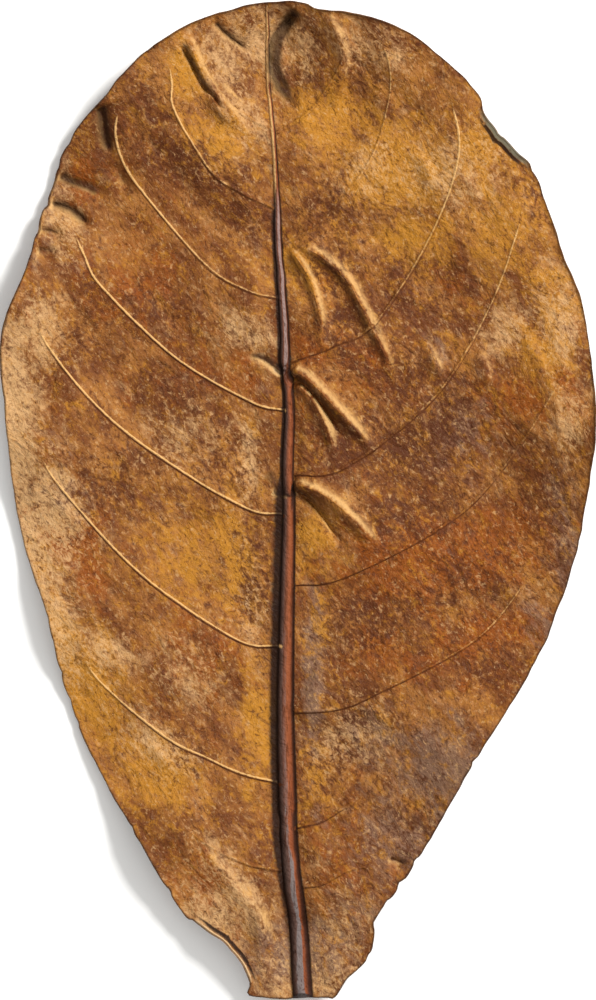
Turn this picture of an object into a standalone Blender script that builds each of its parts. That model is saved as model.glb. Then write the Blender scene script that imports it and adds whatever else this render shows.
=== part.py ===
"""A dried leaf of the Indian almond tree, lying with its ribbed underside up.

The leaf is one solid: a thin blade, cupped so that its margin stands clear of the surface it
lies on, with the midrib and the side ribs raised from its upper side. The blade is drawn flat
first. Every point then gets its height from formulas, the margin is rolled up where the leaf
has curled, and the skin is given its thickness. All lengths in the tables are millimetres in
plan, seen from above: X to the right, Y towards the tip.
"""

import math

import bpy
import numpy as np
from mathutils.geometry import delaunay_2d_cdt

MM = 0.001

# Driving dimensions of the blade
LEAF_LENGTH = 220.0
LEAF_WIDTH = 131.0
BLADE_THICKNESS = 0.65

# How far apart the mesh points stand, in the open blade and along what it follows
FIELD_SPACING = 5.2
FIELD_GAP = 2.2
MARGIN_SPACING = 3.3
MARGIN_GAP = 1.5
RIB_SPACING = 4.2
RIB_GAP = 0.5
RIB_BANK = 2.3
FOLD_SPACING = 2.6
FOLD_INSET = 1.2
FLANK_GAP = 0.9
ROLL_GAP = 0.6
WELD = 0.04

# Margin of the blade from the tip down the left side, then back up the right side
LEFT_MARGIN = [
    (-2.5, 110.0), (-11.4, 109.1), (-19.8, 106.5), (-28.6, 102.1), (-36.2, 96.4),
    (-43.2, 88.4), (-48.4, 82.6), (-52.4, 75.6), (-54.0, 69.4), (-56.4, 63.6),
    (-57.9, 58.2), (-60.4, 49.6), (-64.4, 40.2), (-65.6, 31.0), (-64.6, 20.6),
    (-63.3, 6.4), (-60.8, -8.4), (-56.2, -22.4), (-52.0, -39.2), (-48.0, -50.8),
    (-41.6, -63.8), (-33.6, -77.4), (-25.4, -90.8), (-23.0, -92.6), (-16.9, -96.8),
    (-12.6, -101.6), (-10.7, -106.2), (-9.9, -109.4),
]
RIGHT_MARGIN = [
    (5.6, -109.4), (8.0, -109.2), (10.6, -105.4), (13.8, -102.4), (15.9, -99.8),
    (16.8, -94.4), (17.6, -91.2), (21.4, -86.4), (23.7, -83.2), (25.6, -80.2),
    (31.5, -70.4), (38.5, -57.6), (46.9, -44.6), (53.6, -33.0), (58.4, -20.8),
    (61.6, -10.4), (63.6, 1.4), (65.4, 14.8), (64.7, 28.4), (62.5, 44.0),
    (58.2, 55.0), (54.6, 65.4), (51.6, 73.2), (48.0, 76.8), (44.0, 81.0),
    (41.0, 85.0), (39.8, 89.2), (34.6, 94.8), (26.8, 101.2), (19.2, 105.2),
    (10.8, 107.5), (4.4, 108.2), (1.6, 109.6),
]

# Midrib, from the cut base to the tip, and its width and height at both ends
MIDRIB = [
    (1.1, -109.3), (-0.2, -92.4), (-1.8, -79.2), (-2.5, -61.6), (-2.8, -44.0),
    (-2.4, -20.0), (-2.0, -2.0), (-2.2, 8.0), (-1.8, 22.0), (-2.6, 30.0),
    (-3.2, 40.0), (-4.3, 56.0), (-5.2, 76.0), (-6.6, 92.0), (-6.9, 106.0),
]
MIDRIB_WIDTH = (4.6, 1.1)
MIDRIB_HEIGHT = (1.9, 0.4)
MIDRIB_ROWS = (-1.0, -0.86, -0.5, 0.0, 0.5, 0.86, 1.0)
MIDRIB_ROUNDNESS = 2.2

# Side ribs, each from the midrib towards the margin
SIDE_RIBS = [
    [(-4.2, -81.6), (-11.2, -80.1), (-18.3, -77.0), (-24.9, -72.2)],
    [(-3.5, -62.5), (-11.7, -60.5), (-19.4, -57.2), (-29.3, -52.1), (-43.6, -40.0), (-48.0, -33.0)],
    [(-3.7, -32.1), (-12.5, -31.2), (-26.4, -22.7), (-38.7, -12.5), (-53.5, 4.4), (-57.2, 12.1)],
    [(-3.3, -2.9), (-11.7, -1.5), (-29.9, 9.2), (-44.2, 20.5), (-55.4, 34.3), (-57.4, 41.0)],
    [(-2.9, 20.0), (-10.1, 21.8), (-26.8, 31.5), (-43.3, 47.1), (-47.5, 54.6), (-50.4, 61.6)],
    [(-4.2, 44.7), (-11.7, 46.6), (-20.9, 52.6), (-36.1, 70.8), (-40.1, 80.3), (-39.2, 88.0)],
    [(-5.1, 64.5), (-13.0, 68.4), (-19.4, 73.0), (-27.3, 86.0), (-27.9, 92.0), (-28.6, 97.0)],
    [(-5.6, 81.8), (-11.7, 84.7), (-16.9, 88.6), (-20.7, 95.0), (-22.4, 101.0)],
    [(0.7, -85.1), (5.1, -84.5), (10.3, -81.8), (16.1, -80.5)],
    [(-0.2, -72.2), (5.1, -70.8), (10.3, -67.8), (16.9, -65.3)],
    [(-1.3, -46.6), (8.8, -45.8), (17.2, -42.5), (39.6, -30.4), (52.1, -15.4)],
    [(-0.9, -18.5), (10.1, -16.7), (33.2, -4.8), (45.8, 7.9), (57.2, 25.5), (58.5, 33.0)],
    [(-1.1, 5.7), (10.1, 7.3), (29.9, 22.7), (42.0, 42.0), (48.6, 60.5), (49.3, 67.1)],
    [(-2.2, 30.4), (7.9, 34.3), (16.9, 39.2), (29.0, 57.9), (35.4, 76.3), (33.2, 91.0)],
    [(-3.5, 56.5), (5.1, 61.6), (16.1, 75.5), (20.2, 89.1), (20.0, 97.0), (17.0, 102.8)],
    [(-5.3, 81.0), (1.5, 85.1), (7.0, 92.0), (10.0, 97.2), (10.3, 101.4)],
]
SIDE_RIB_WIDTH = (1.3, 0.6)
SIDE_RIB_HEIGHT = (0.5, 0.2)
SIDE_RIB_RUN_OUT = 0.12

# Folds of the dried blade. Each is (height, width on the left of its run, width on the right,
# share of its length over which it rises, its line). A valley has a height below nought. The
# crest is rounded over a share of the width, and the fold runs out over the last of its length.
FOLDS = [
    (2.2, 1.7, 1.7, 0.1, [(-1.5, 29.3), (1.3, 27.7), (4.4, 24.6), (7.0, 21.3), (12.3, 12.8)]),
    (1.6, 1.2, 1.2, 0.1, [(-0.4, 25.5), (1.3, 23.3), (2.9, 20.5), (4.0, 17.6), (4.8, 13.6)]),
    (-1.0, 0.9, 0.9, 0.1, [(-1.5, 28.2), (0.2, 26.6), (4.6, 21.6), (6.2, 19.1), (7.7, 16.1)]),
    (1.8, 1.8, 1.8, 0.1, [(-0.9, 3.5), (2.2, 2.2), (4.6, 0.0), (10.6, -6.4), (13.6, -10.1)]),
    (-0.8, 1.0, 1.0, 0.1, [(-1.1, 2.0), (1.3, 0.4), (3.5, -2.0), (7.7, -7.9)]),
    (1.5, 1.1, 2.4, 0.2, [(0.9, 55.4), (4.6, 54.8), (11.4, 48.6), (14.3, 43.1), (20.7, 29.9)]),
    (1.2, 1.2, 1.8, 0.2, [(-1.8, 55.0), (0.4, 51.7), (2.4, 48.8), (3.3, 45.8), (5.1, 39.6)]),
    (-1.6, 1.0, 1.0, 0.1, [(-0.2, 108.5), (-4.2, 102.7), (-5.7, 97.2), (-5.1, 94.6), (-2.9, 92.0)]),
    (1.2, 1.5, 3.2, 0.1, [(5.3, 108.2), (9.5, 100.5), (9.5, 97.2), (7.7, 88.9)]),
    (-1.4, 1.3, 1.3, 0.1, [(-18.9, 106.3), (-15.8, 103.4), (-12.3, 100.5), (-10.1, 99.7)]),
    (1.4, 1.1, 2.0, 0.2, [(-24.6, 103.0), (-23.1, 98.6), (-20.9, 94.2), (-16.3, 88.2), (-14.1, 85.8)]),
    (-1.5, 1.3, 1.3, 0.1, [(-43.6, 87.1), (-42.9, 83.6), (-42.2, 80.1), (-40.9, 76.6)]),
    (-1.3, 1.4, 1.4, 0.1, [(-53.0, 72.4), (-50.4, 70.6), (-48.0, 70.0), (-45.3, 68.9)]),
    (-1.5, 1.2, 1.2, 0.1, [(-55.2, 65.8), (-52.8, 65.3), (-50.8, 64.5), (-48.4, 62.9)]),
    (-1.1, 1.1, 1.1, 0.1, [(-3.1, 28.6), (-4.6, 29.7), (-7.0, 31.5), (-10.1, 32.1)]),
    (-1.1, 1.6, 1.6, 0.1, [(-3.1, 1.3), (-4.6, 3.1), (-5.9, 5.7), (-7.9, 7.9)]),
    (0.7, 1.2, 2.0, 0.4, [(27.7, 36.3), (29.0, 33.4), (32.3, 26.4)]),
    (0.8, 1.3, 2.2, 0.4, [(38.7, 34.1), (40.9, 30.8), (42.7, 23.1)]),
    (0.6, 1.2, 2.0, 0.4, [(26.2, 20.9), (27.7, 16.5), (28.8, 11.4)]),
    (-0.9, 0.9, 0.9, 0.1, [(19.8, -78.8), (22.4, -79.6), (24.6, -80.6)]),
    (1.2, 1.6, 1.6, 0.3, [(-8.6, -86.0), (-8.4, -94.6), (-7.9, -101.2), (-6.6, -107.0)]),
]
FOLD_CREST = 0.35
FOLD_RUN_OUT = 0.45
FOLD_ROWS = (-2.0, -0.8, 0.8, 2.0)

# Where the margin has rolled up: (x, y, reach along the margin, angle in degrees)
ROLLS = [
    (46.0, 80.0, 9.0, 125.0),
    (-15.5, -98.5, 9.0, 130.0),
    (14.0, 106.5, 10.0, 50.0),
    (-24.0, 104.5, 10.0, 35.0),
    (58.0, 55.0, 18.0, 45.0),
    (65.0, 20.0, 22.0, 30.0),
    (-65.0, 33.0, 16.0, 35.0),
]
ROLL_DEPTH = 1.9
ROLL_ROWS = (0.65, 1.3, 1.95)
LEAST_ROLL = math.radians(20)

# The cupped form: the margin stands up and falls away inwards, in waves, and so do both ends.
# The blade sinks a depth over a half width along the midrib, and between the side ribs.
MARGIN_LIFT = 5.0
MARGIN_REACH = 14.0
MARGIN_WAVE = 0.3
END_LIFT = 2.5
TROUGH_DEPTH = 1.3
TROUGH_HALF = 4.5
PANEL_DEPTH = 0.8
PANEL_HALF = 6.0

# Waves, each (height, length, direction in degrees, phase in radians)
MARGIN_WAVES = [(1.0, 50.0, 27.9, 0.0), (1.0, 63.2, 110.0, 2.0)]
BLADE_WAVES = [
    (0.9, 52.0, 20.0, 0.4), (0.7, 37.0, 75.0, 2.0), (0.5, 26.0, 130.0, 4.1), (0.4, 61.0, 160.0, 1.2),
]

# Its low spots are pressed flat where they meet the surface, over an easing height
REST_HEIGHT = -0.65
REST_EASING = 0.25

LEAF_COLOUR = (0.314, 0.136, 0.047, 1.0)
LEAF_ROUGHNESS = 0.62


def smooth_curve(points, spacing, closed=False):
    """Points at an even spacing along a Catmull-Rom curve through the given ones."""
    points = np.array(points, float)
    if closed:
        points = np.vstack([points[-1], points, points[0], points[1]])
    else:
        points = np.vstack([2 * points[0] - points[1], points, 2 * points[-1] - points[-2]])
    share = np.linspace(0, 1, 16, endpoint=False)[:, None]
    pieces = []
    for before, start, end, after in zip(points, points[1:], points[2:], points[3:]):
        pieces.append(0.5 * (
            2 * start + (end - before) * share
            + (2 * before - 5 * start + 4 * end - after) * share**2
            + (3 * start - before - 3 * end + after) * share**3
        ))
    even = evenly_spaced(np.vstack([*pieces, points[-2]]), spacing)
    return even[:-1] if closed else even


def evenly_spaced(line, spacing):
    """Points at an even spacing along a line, with its two ends among them."""
    run = np.concatenate([[0], np.cumsum(np.linalg.norm(np.diff(line, axis=0), axis=1))])
    at = np.linspace(0, run[-1], max(2, round(run[-1] / spacing)) + 1)
    return np.column_stack([np.interp(at, run, line[:, axis]) for axis in (0, 1)])


def nearest_on(line, points, closed=False):
    """(signed distance, share of the length, foot) of each point on a line, left of it positive."""
    ends = np.roll(line, -1, axis=0) if closed else line[1:]
    starts = line if closed else line[:-1]
    along = ends - starts
    length = np.linalg.norm(along, axis=1)
    offset = points[:, None, :] - starts[None]
    part = np.clip((offset * along).sum(2) / length**2, 0, 1)
    gap = offset - part[..., None] * along
    apart = np.linalg.norm(gap, axis=2)
    best = apart.argmin(axis=1)
    row = np.arange(len(points))
    side = np.sign(along[best, 0] * offset[row, best, 1] - along[best, 1] * offset[row, best, 0])
    before = np.concatenate([[0], np.cumsum(length)])
    share = (before[best] + part[row, best] * length[best]) / before[-1]
    return apart[row, best] * side, share, points - gap[row, best]


def between(ends, share):
    """The value at a share of the way from the first of two to the second."""
    return ends[0] + (ends[1] - ends[0]) * share


def side_step(line, distance):
    """A line beside the given one, at a distance on its left that may differ along it."""
    along = np.gradient(line, axis=0)
    along /= np.linalg.norm(along, axis=1)[:, None]
    left = np.column_stack([-along[:, 1], along[:, 0]])
    return line + left * np.reshape(distance, (-1, 1))


def ease(value):
    """A smooth step from 0 to 1."""
    value = np.clip(value, 0, 1)
    return value * value * (3 - 2 * value)


def rib_relief(points):
    """How far the midrib and the side ribs stand up from the blade."""
    apart, share, _ = nearest_on(MIDRIB_LINE, points)
    inside = np.clip(1 - np.abs(2 * apart / between(MIDRIB_WIDTH, share)) ** MIDRIB_ROUNDNESS, 0, 1)
    relief = between(MIDRIB_HEIGHT, share) * inside ** (1 / MIDRIB_ROUNDNESS)
    for line in SIDE_RIB_LINES:
        apart, share, _ = nearest_on(line, points)
        out = np.clip(2 * np.abs(apart) / between(SIDE_RIB_WIDTH, share), 0, 1)
        fade = ease((1 - share) / SIDE_RIB_RUN_OUT)
        relief = np.maximum(relief, between(SIDE_RIB_HEIGHT, share) * fade * (1 - out**2))
    return relief


def fold_height(points):
    """The pleats and creases of the dried blade."""
    height = np.zeros(len(points))
    for (rise, left, right, start, _), line in zip(FOLDS, FOLD_LINES):
        apart, share, _ = nearest_on(line, points)
        out = np.abs(apart) / np.where(apart > 0, left, right)
        crest = np.exp(FOLD_CREST - np.sqrt(out**2 + FOLD_CREST**2))
        height += rise * crest * ease(share / start) * ease((1 - share) / FOLD_RUN_OUT)
    return height


def wave_height(points, waves):
    """The sum of plane waves at the points."""
    height = np.zeros(len(points))
    for rise, length, angle, phase in waves:
        run = points @ (math.cos(math.radians(angle)), math.sin(math.radians(angle)))
        height += rise * np.sin(2 * math.pi * run / length + phase)
    return height


def blade_height(points):
    """Height of the middle of the blade above the surface it lies on."""
    inset = np.abs(nearest_on(MARGIN_LINE, points, closed=True)[0])
    swell = 1 + MARGIN_WAVE * wave_height(points, MARGIN_WAVES)
    height = MARGIN_LIFT * np.exp(-inset / MARGIN_REACH) * swell
    height += END_LIFT * (2 * points[:, 1] / LEAF_LENGTH) ** 2
    height += wave_height(points, BLADE_WAVES)
    from_midrib = nearest_on(MIDRIB_LINE, points)[0]
    height -= TROUGH_DEPTH * np.exp(-(from_midrib / TROUGH_HALF) ** 2)
    from_rib = np.min([np.abs(nearest_on(line, points)[0]) for line in SIDE_RIB_LINES], axis=0)
    height -= PANEL_DEPTH * (1 - np.exp(-(from_rib / PANEL_HALF) ** 2))
    height += fold_height(points)
    above = height - REST_HEIGHT
    eased = np.where(above > REST_EASING, above, (above + REST_EASING) ** 2 / (4 * REST_EASING))
    return BLADE_THICKNESS / 2 + np.where(above < -REST_EASING, 0, eased)


def roll_angle(foot):
    """How far the margin has rolled up, in radians, at each foot point on it."""
    angle = np.zeros(len(foot))
    for x, y, reach, turn in ROLLS:
        away = np.linalg.norm(foot - (x, y), axis=1)
        angle = np.maximum(angle, math.radians(turn) * np.exp(-((away / reach) ** 4)))
    return angle


def rolled(points, height):
    """The flat points in space, with the margin turned up where it has curled."""
    apart, _, foot = nearest_on(MARGIN_LINE, points, closed=True)
    inset = np.abs(apart)
    outward = (foot - points) / np.maximum(inset, 1e-9)[:, None]
    on_margin = inset < 1e-4
    outward[on_margin] = margin_normals(foot[on_margin])
    angle = np.maximum(roll_angle(foot), 1e-3)
    radius = ROLL_DEPTH / np.sin(np.minimum(angle, math.pi / 2))
    turned = angle * np.clip(1 - inset / ROLL_DEPTH, 0, 1)
    reach = radius * np.sin(turned) - np.clip(ROLL_DEPTH - inset, 0, None)
    plan = points + outward * reach[:, None]
    return np.column_stack([plan, height + radius * (1 - np.cos(turned))])


def margin_normals(feet):
    """Outward directions at points of the margin."""
    along = np.roll(MARGIN_LINE, -1, axis=0) - np.roll(MARGIN_LINE, 1, axis=0)
    along /= np.linalg.norm(along, axis=1)[:, None]
    outward = np.column_stack([along[:, 1], -along[:, 0]])
    nearest = [np.linalg.norm(MARGIN_LINE - foot, axis=1).argmin() for foot in feet]
    return outward[nearest]


def guide_lines():
    """Lines that the mesh follows: rows along the midrib and the side ribs, and the folds."""
    spine = smooth_curve(MIDRIB, RIB_SPACING)
    half = between(MIDRIB_WIDTH, np.linspace(0, 1, len(spine))) / 2
    lines = [side_step(spine, row * half) for row in MIDRIB_ROWS]
    for whole in SIDE_RIB_LINES:
        rib, first = off_midrib(whole, RIB_SPACING)
        half = between(SIDE_RIB_WIDTH, np.linspace(first, 1, len(rib))) / 2
        lines += [side_step(rib, row * half) for row in (-1, 0, 1)]
    for whole in FOLD_LINES:
        lines.append(off_midrib(inside_margin(whole, FOLD_INSET), FOLD_SPACING)[0])
    return lines


def off_midrib(line, spacing):
    """(the stretch of a line that is clear of the midrib, the share at which it starts)."""
    apart, at, _ = nearest_on(MIDRIB_LINE, line)
    clear = np.abs(apart) > between(MIDRIB_WIDTH, at) / 2 + RIB_GAP
    return evenly_spaced(line[clear], spacing), np.argmax(clear) / (len(line) - 1)


def flank_points():
    """Points beside each fold and each side rib, close enough to carry its shape."""
    rows = []
    for (_, left, right, _, points) in FOLDS:
        line = smooth_curve(points, FOLD_SPACING)
        for row in FOLD_ROWS:
            rows.append(side_step(line, row * (left if row > 0 else right)))
    for whole in SIDE_RIB_LINES:
        line = evenly_spaced(whole, RIB_SPACING)
        rows += [side_step(line, RIB_BANK), side_step(line, -RIB_BANK)]
    return np.vstack(rows)


def field_points():
    """A triangular lattice of points that fills the blade."""
    rise = FIELD_SPACING * math.sqrt(3) / 2
    rows = []
    for number, y in enumerate(np.arange(-LEAF_LENGTH / 2, LEAF_LENGTH / 2, rise)):
        x = np.arange(-LEAF_WIDTH / 2, LEAF_WIDTH / 2, FIELD_SPACING) + (number % 2) * FIELD_SPACING / 2
        rows.append(np.column_stack([x, np.full(len(x), y)]))
    return np.vstack(rows)


def clear_of(points, others, gap):
    """Those of the points that are at least a gap from all the others."""
    apart = np.linalg.norm(points[:, None] - others[None], axis=2)
    return points[apart.min(axis=1) > gap]


def inside_margin(points, inset):
    """Those of the points that lie within the margin by at least an inset."""
    apart, _, _ = nearest_on(MARGIN_LINE, points, closed=True)
    return points[apart > inset]


def thinned(points, gap):
    """The points, less those that come too near one kept before."""
    kept = points[:1]
    for point in points[1:]:
        if np.linalg.norm(kept - point, axis=1).min() > gap:
            kept = np.vstack([kept, point])
    return kept


def flat_blade():
    """(points, triangles) of the blade laid out flat."""
    lines = guide_lines()
    on_lines = np.vstack([MARGIN_LINE, *lines])
    roll_rows = [side_step(MARGIN_LINE, row) for row in ROLL_ROWS]
    turned = roll_angle(MARGIN_LINE) > LEAST_ROLL
    rolls = inside_margin(np.vstack([row[turned] for row in roll_rows]), ROLL_GAP)
    rolls = clear_of(rolls, np.vstack(lines), ROLL_GAP)
    flanks = inside_margin(thinned(flank_points(), FLANK_GAP), FLANK_GAP)
    flanks = clear_of(flanks, np.vstack([*lines, rolls]), FLANK_GAP)
    loose = np.vstack([rolls, flanks])
    field = inside_margin(field_points(), MARGIN_GAP)
    field = clear_of(field, np.vstack([on_lines, loose]), FIELD_GAP)
    count = len(MARGIN_LINE)
    edges = [(i, (i + 1) % count) for i in range(count)]
    for line in lines:
        edges += [(count + i, count + i + 1) for i in range(len(line) - 1)]
        count += len(line)
    points = np.vstack([on_lines, loose, field])
    found = delaunay_2d_cdt([tuple(p) for p in points], edges, [], 1, WELD)
    return np.array([tuple(p) for p in found[0]]), np.array(found[2])


def open_edges(triangles):
    """The edges that belong to one triangle only, in that triangle's direction."""
    ends = np.vstack([triangles[:, [0, 1]], triangles[:, [1, 2]], triangles[:, [2, 0]]])
    _, index, count = np.unique(np.sort(ends, axis=1), axis=0, return_inverse=True, return_counts=True)
    return ends[count[index.reshape(-1)] == 1]


def vertex_normals(points, triangles):
    """Unit normals at the points, averaged from the triangles round each."""
    corner = points[triangles]
    face = np.cross(corner[:, 1] - corner[:, 0], corner[:, 2] - corner[:, 0])
    normal = np.zeros_like(points)
    for place in range(3):
        np.add.at(normal, triangles[:, place], face)
    return normal / np.linalg.norm(normal, axis=1)[:, None]


def leaf_shell():
    """(points, triangles) of the closed skin of the leaf, standing on nought."""
    flat, triangles = flat_blade()
    corner = flat[triangles]
    turn = np.cross(corner[:, 1] - corner[:, 0], corner[:, 2] - corner[:, 0])
    triangles[turn < 0] = triangles[turn < 0][:, ::-1]
    middle = rolled(flat, blade_height(flat))
    normal = vertex_normals(middle, triangles)
    upper = middle + normal * (BLADE_THICKNESS / 2 + rib_relief(flat))[:, None]
    lower = middle - normal * BLADE_THICKNESS / 2
    count = len(flat)
    rim = open_edges(triangles)
    start, end = rim.T
    wall = np.vstack([
        np.column_stack([end, start, start + count]),
        np.column_stack([end, start + count, end + count]),
    ])
    points = np.vstack([upper, lower])
    low, high = points.min(axis=0), points.max(axis=0)
    points -= ((low[0] + high[0]) / 2, (low[1] + high[1]) / 2, low[2])
    return points, np.vstack([triangles, triangles[:, ::-1] + count, wall])


def leaf_material():
    """Dry brown leaf skin."""
    material = bpy.data.materials.new("dry_leaf")
    material.use_nodes = True
    shader = material.node_tree.nodes["Principled BSDF"]
    shader.inputs["Base Color"].default_value = LEAF_COLOUR
    shader.inputs["Roughness"].default_value = LEAF_ROUGHNESS
    shader.inputs["Metallic"].default_value = 0.0
    return material


def make_leaf():
    """The leaf as one object."""
    points, triangles = leaf_shell()
    mesh = bpy.data.meshes.new("leaf")
    mesh.from_pydata((points * MM).tolist(), [], triangles.tolist())
    mesh.materials.append(leaf_material())
    mesh.shade_smooth()
    mesh.set_sharp_from_angle(angle=math.radians(50))
    leaf = bpy.data.objects.new("leaf", mesh)
    bpy.context.scene.collection.objects.link(leaf)
    return leaf


def clear_scene():
    """Removes the startup scene's objects."""
    for obj in list(bpy.data.objects):
        bpy.data.objects.remove(obj)


MARGIN_LINE = smooth_curve(LEFT_MARGIN + RIGHT_MARGIN, MARGIN_SPACING, closed=True)
MIDRIB_LINE = smooth_curve(MIDRIB, 2.0)
SIDE_RIB_LINES = [smooth_curve(points, 0.5) for points in SIDE_RIBS]
FOLD_LINES = [smooth_curve(fold[4], 1.0) for fold in FOLDS]

clear_scene()
make_leaf()
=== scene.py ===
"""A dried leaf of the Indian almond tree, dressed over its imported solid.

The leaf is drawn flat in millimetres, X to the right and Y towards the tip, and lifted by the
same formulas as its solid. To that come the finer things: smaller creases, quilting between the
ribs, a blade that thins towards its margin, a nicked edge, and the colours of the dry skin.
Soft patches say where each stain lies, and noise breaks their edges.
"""

import math

import bpy
import numpy as np
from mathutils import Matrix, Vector, noise
from mathutils.geometry import delaunay_2d_cdt
from mathutils.kdtree import KDTree


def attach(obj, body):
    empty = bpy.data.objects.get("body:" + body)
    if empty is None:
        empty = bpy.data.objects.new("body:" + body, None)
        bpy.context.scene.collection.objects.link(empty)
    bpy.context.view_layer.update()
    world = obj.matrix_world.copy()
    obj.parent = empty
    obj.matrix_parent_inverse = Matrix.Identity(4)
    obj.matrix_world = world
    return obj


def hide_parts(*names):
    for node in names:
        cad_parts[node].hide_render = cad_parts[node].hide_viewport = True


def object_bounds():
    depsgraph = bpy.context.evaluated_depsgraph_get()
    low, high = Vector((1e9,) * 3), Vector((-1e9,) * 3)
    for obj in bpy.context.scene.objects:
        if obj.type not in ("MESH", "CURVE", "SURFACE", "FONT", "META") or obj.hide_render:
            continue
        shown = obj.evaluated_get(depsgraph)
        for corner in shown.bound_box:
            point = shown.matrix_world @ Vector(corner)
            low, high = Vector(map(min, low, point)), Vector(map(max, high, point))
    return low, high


bl_info = {
    "name": "Indian almond leaf",
    "version": (1, 0, 0),
    "blender": (4, 5, 0),
    "location": "View3D > Sidebar > Leaf",
    "description": "Models one dried leaf and the pale floor that it lies on",
    "category": "Add Mesh",
}

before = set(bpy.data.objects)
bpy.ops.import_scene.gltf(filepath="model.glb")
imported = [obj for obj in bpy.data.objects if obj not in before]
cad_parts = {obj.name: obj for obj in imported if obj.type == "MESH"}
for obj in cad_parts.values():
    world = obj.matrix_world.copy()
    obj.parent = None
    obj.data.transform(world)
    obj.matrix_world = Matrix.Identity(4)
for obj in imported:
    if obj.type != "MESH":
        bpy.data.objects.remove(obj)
CAD_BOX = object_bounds()

MM = 0.001
IMAGE_HEIGHT = 1000
LEAF_LENGTH = 220.0
LEAF_WIDTH = 131.0

# Margin of the blade from the tip down the left side, then back up the right side
LEFT_MARGIN = [
    (-2.5, 110), (-11.4, 109.1), (-19.8, 106.5), (-28.6, 102.1), (-36.2, 96.4),
    (-43.2, 88.4), (-48.4, 82.6), (-52.4, 75.6), (-54, 69.4), (-56.4, 63.6),
    (-57.9, 58.2), (-60.4, 49.6), (-64.4, 40.2), (-65.6, 31), (-64.6, 20.6),
    (-63.3, 6.4), (-60.8, -8.4), (-56.2, -22.4), (-52, -39.2), (-48, -50.8),
    (-41.6, -63.8), (-33.6, -77.4), (-25.4, -90.8), (-23, -92.6), (-16.9, -96.8),
    (-12.6, -101.6), (-10.7, -106.2), (-9.9, -109.4),
]
RIGHT_MARGIN = [
    (5.6, -109.4), (8, -109.2), (10.6, -105.4), (13.8, -102.4), (15.9, -99.8),
    (16.8, -94.4), (17.6, -91.2), (21.4, -86.4), (23.7, -83.2), (25.6, -80.2),
    (31.5, -70.4), (38.5, -57.6), (46.9, -44.6), (53.6, -33), (58.4, -20.8),
    (61.6, -10.4), (63.6, 1.4), (65.4, 14.8), (64.7, 28.4), (62.5, 44),
    (58.2, 55), (54.6, 65.4), (51.6, 73.2), (48, 76.8), (44, 81),
    (41, 85), (39.8, 89.2), (34.6, 94.8), (26.8, 101.2), (19.2, 105.2),
    (10.8, 107.5), (4.4, 108.2), (1.6, 109.6),
]

# Midrib, from the cut base to the tip, its width along its length and its height at both ends
MIDRIB = [
    (1.1, -109.3), (-0.2, -92.4), (-1.8, -79.2), (-2.5, -61.6), (-2.8, -44),
    (-2.4, -20), (-2, -2), (-2.2, 8), (-1.8, 22), (-2.6, 30),
    (-3.2, 40), (-4.3, 56), (-5.2, 76), (-6.6, 92), (-6.9, 108),
]
MIDRIB_AT = (0.0, 0.1, 0.3, 0.38, 0.53, 0.66, 0.79, 0.85, 0.95, 1.0)
MIDRIB_WIDTHS = (4.5, 4.2, 3.6, 3.2, 2.6, 2.1, 1.6, 0.95, 0.75, 0.6)
MIDRIB_HEIGHT = (1.9, 0.4)
MIDRIB_ROWS = (-1.0, -0.93, -0.75, -0.5, -0.25, 0.0, 0.25, 0.5, 0.75, 0.93, 1.0)
MIDRIB_ROUNDNESS = 2.2
# Rows of points beside the midrib, in half widths, and beside the side ribs, in millimetres
MIDRIB_BANKS = (1.3, 1.7, 2.2, 2.9, -1.25, -1.7, -2.4)
SIDE_RIB_BANKS = (0.75, -0.75)
MARGIN_BANKS = (0.3, 0.6)
BANK_GAP = 0.25
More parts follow.
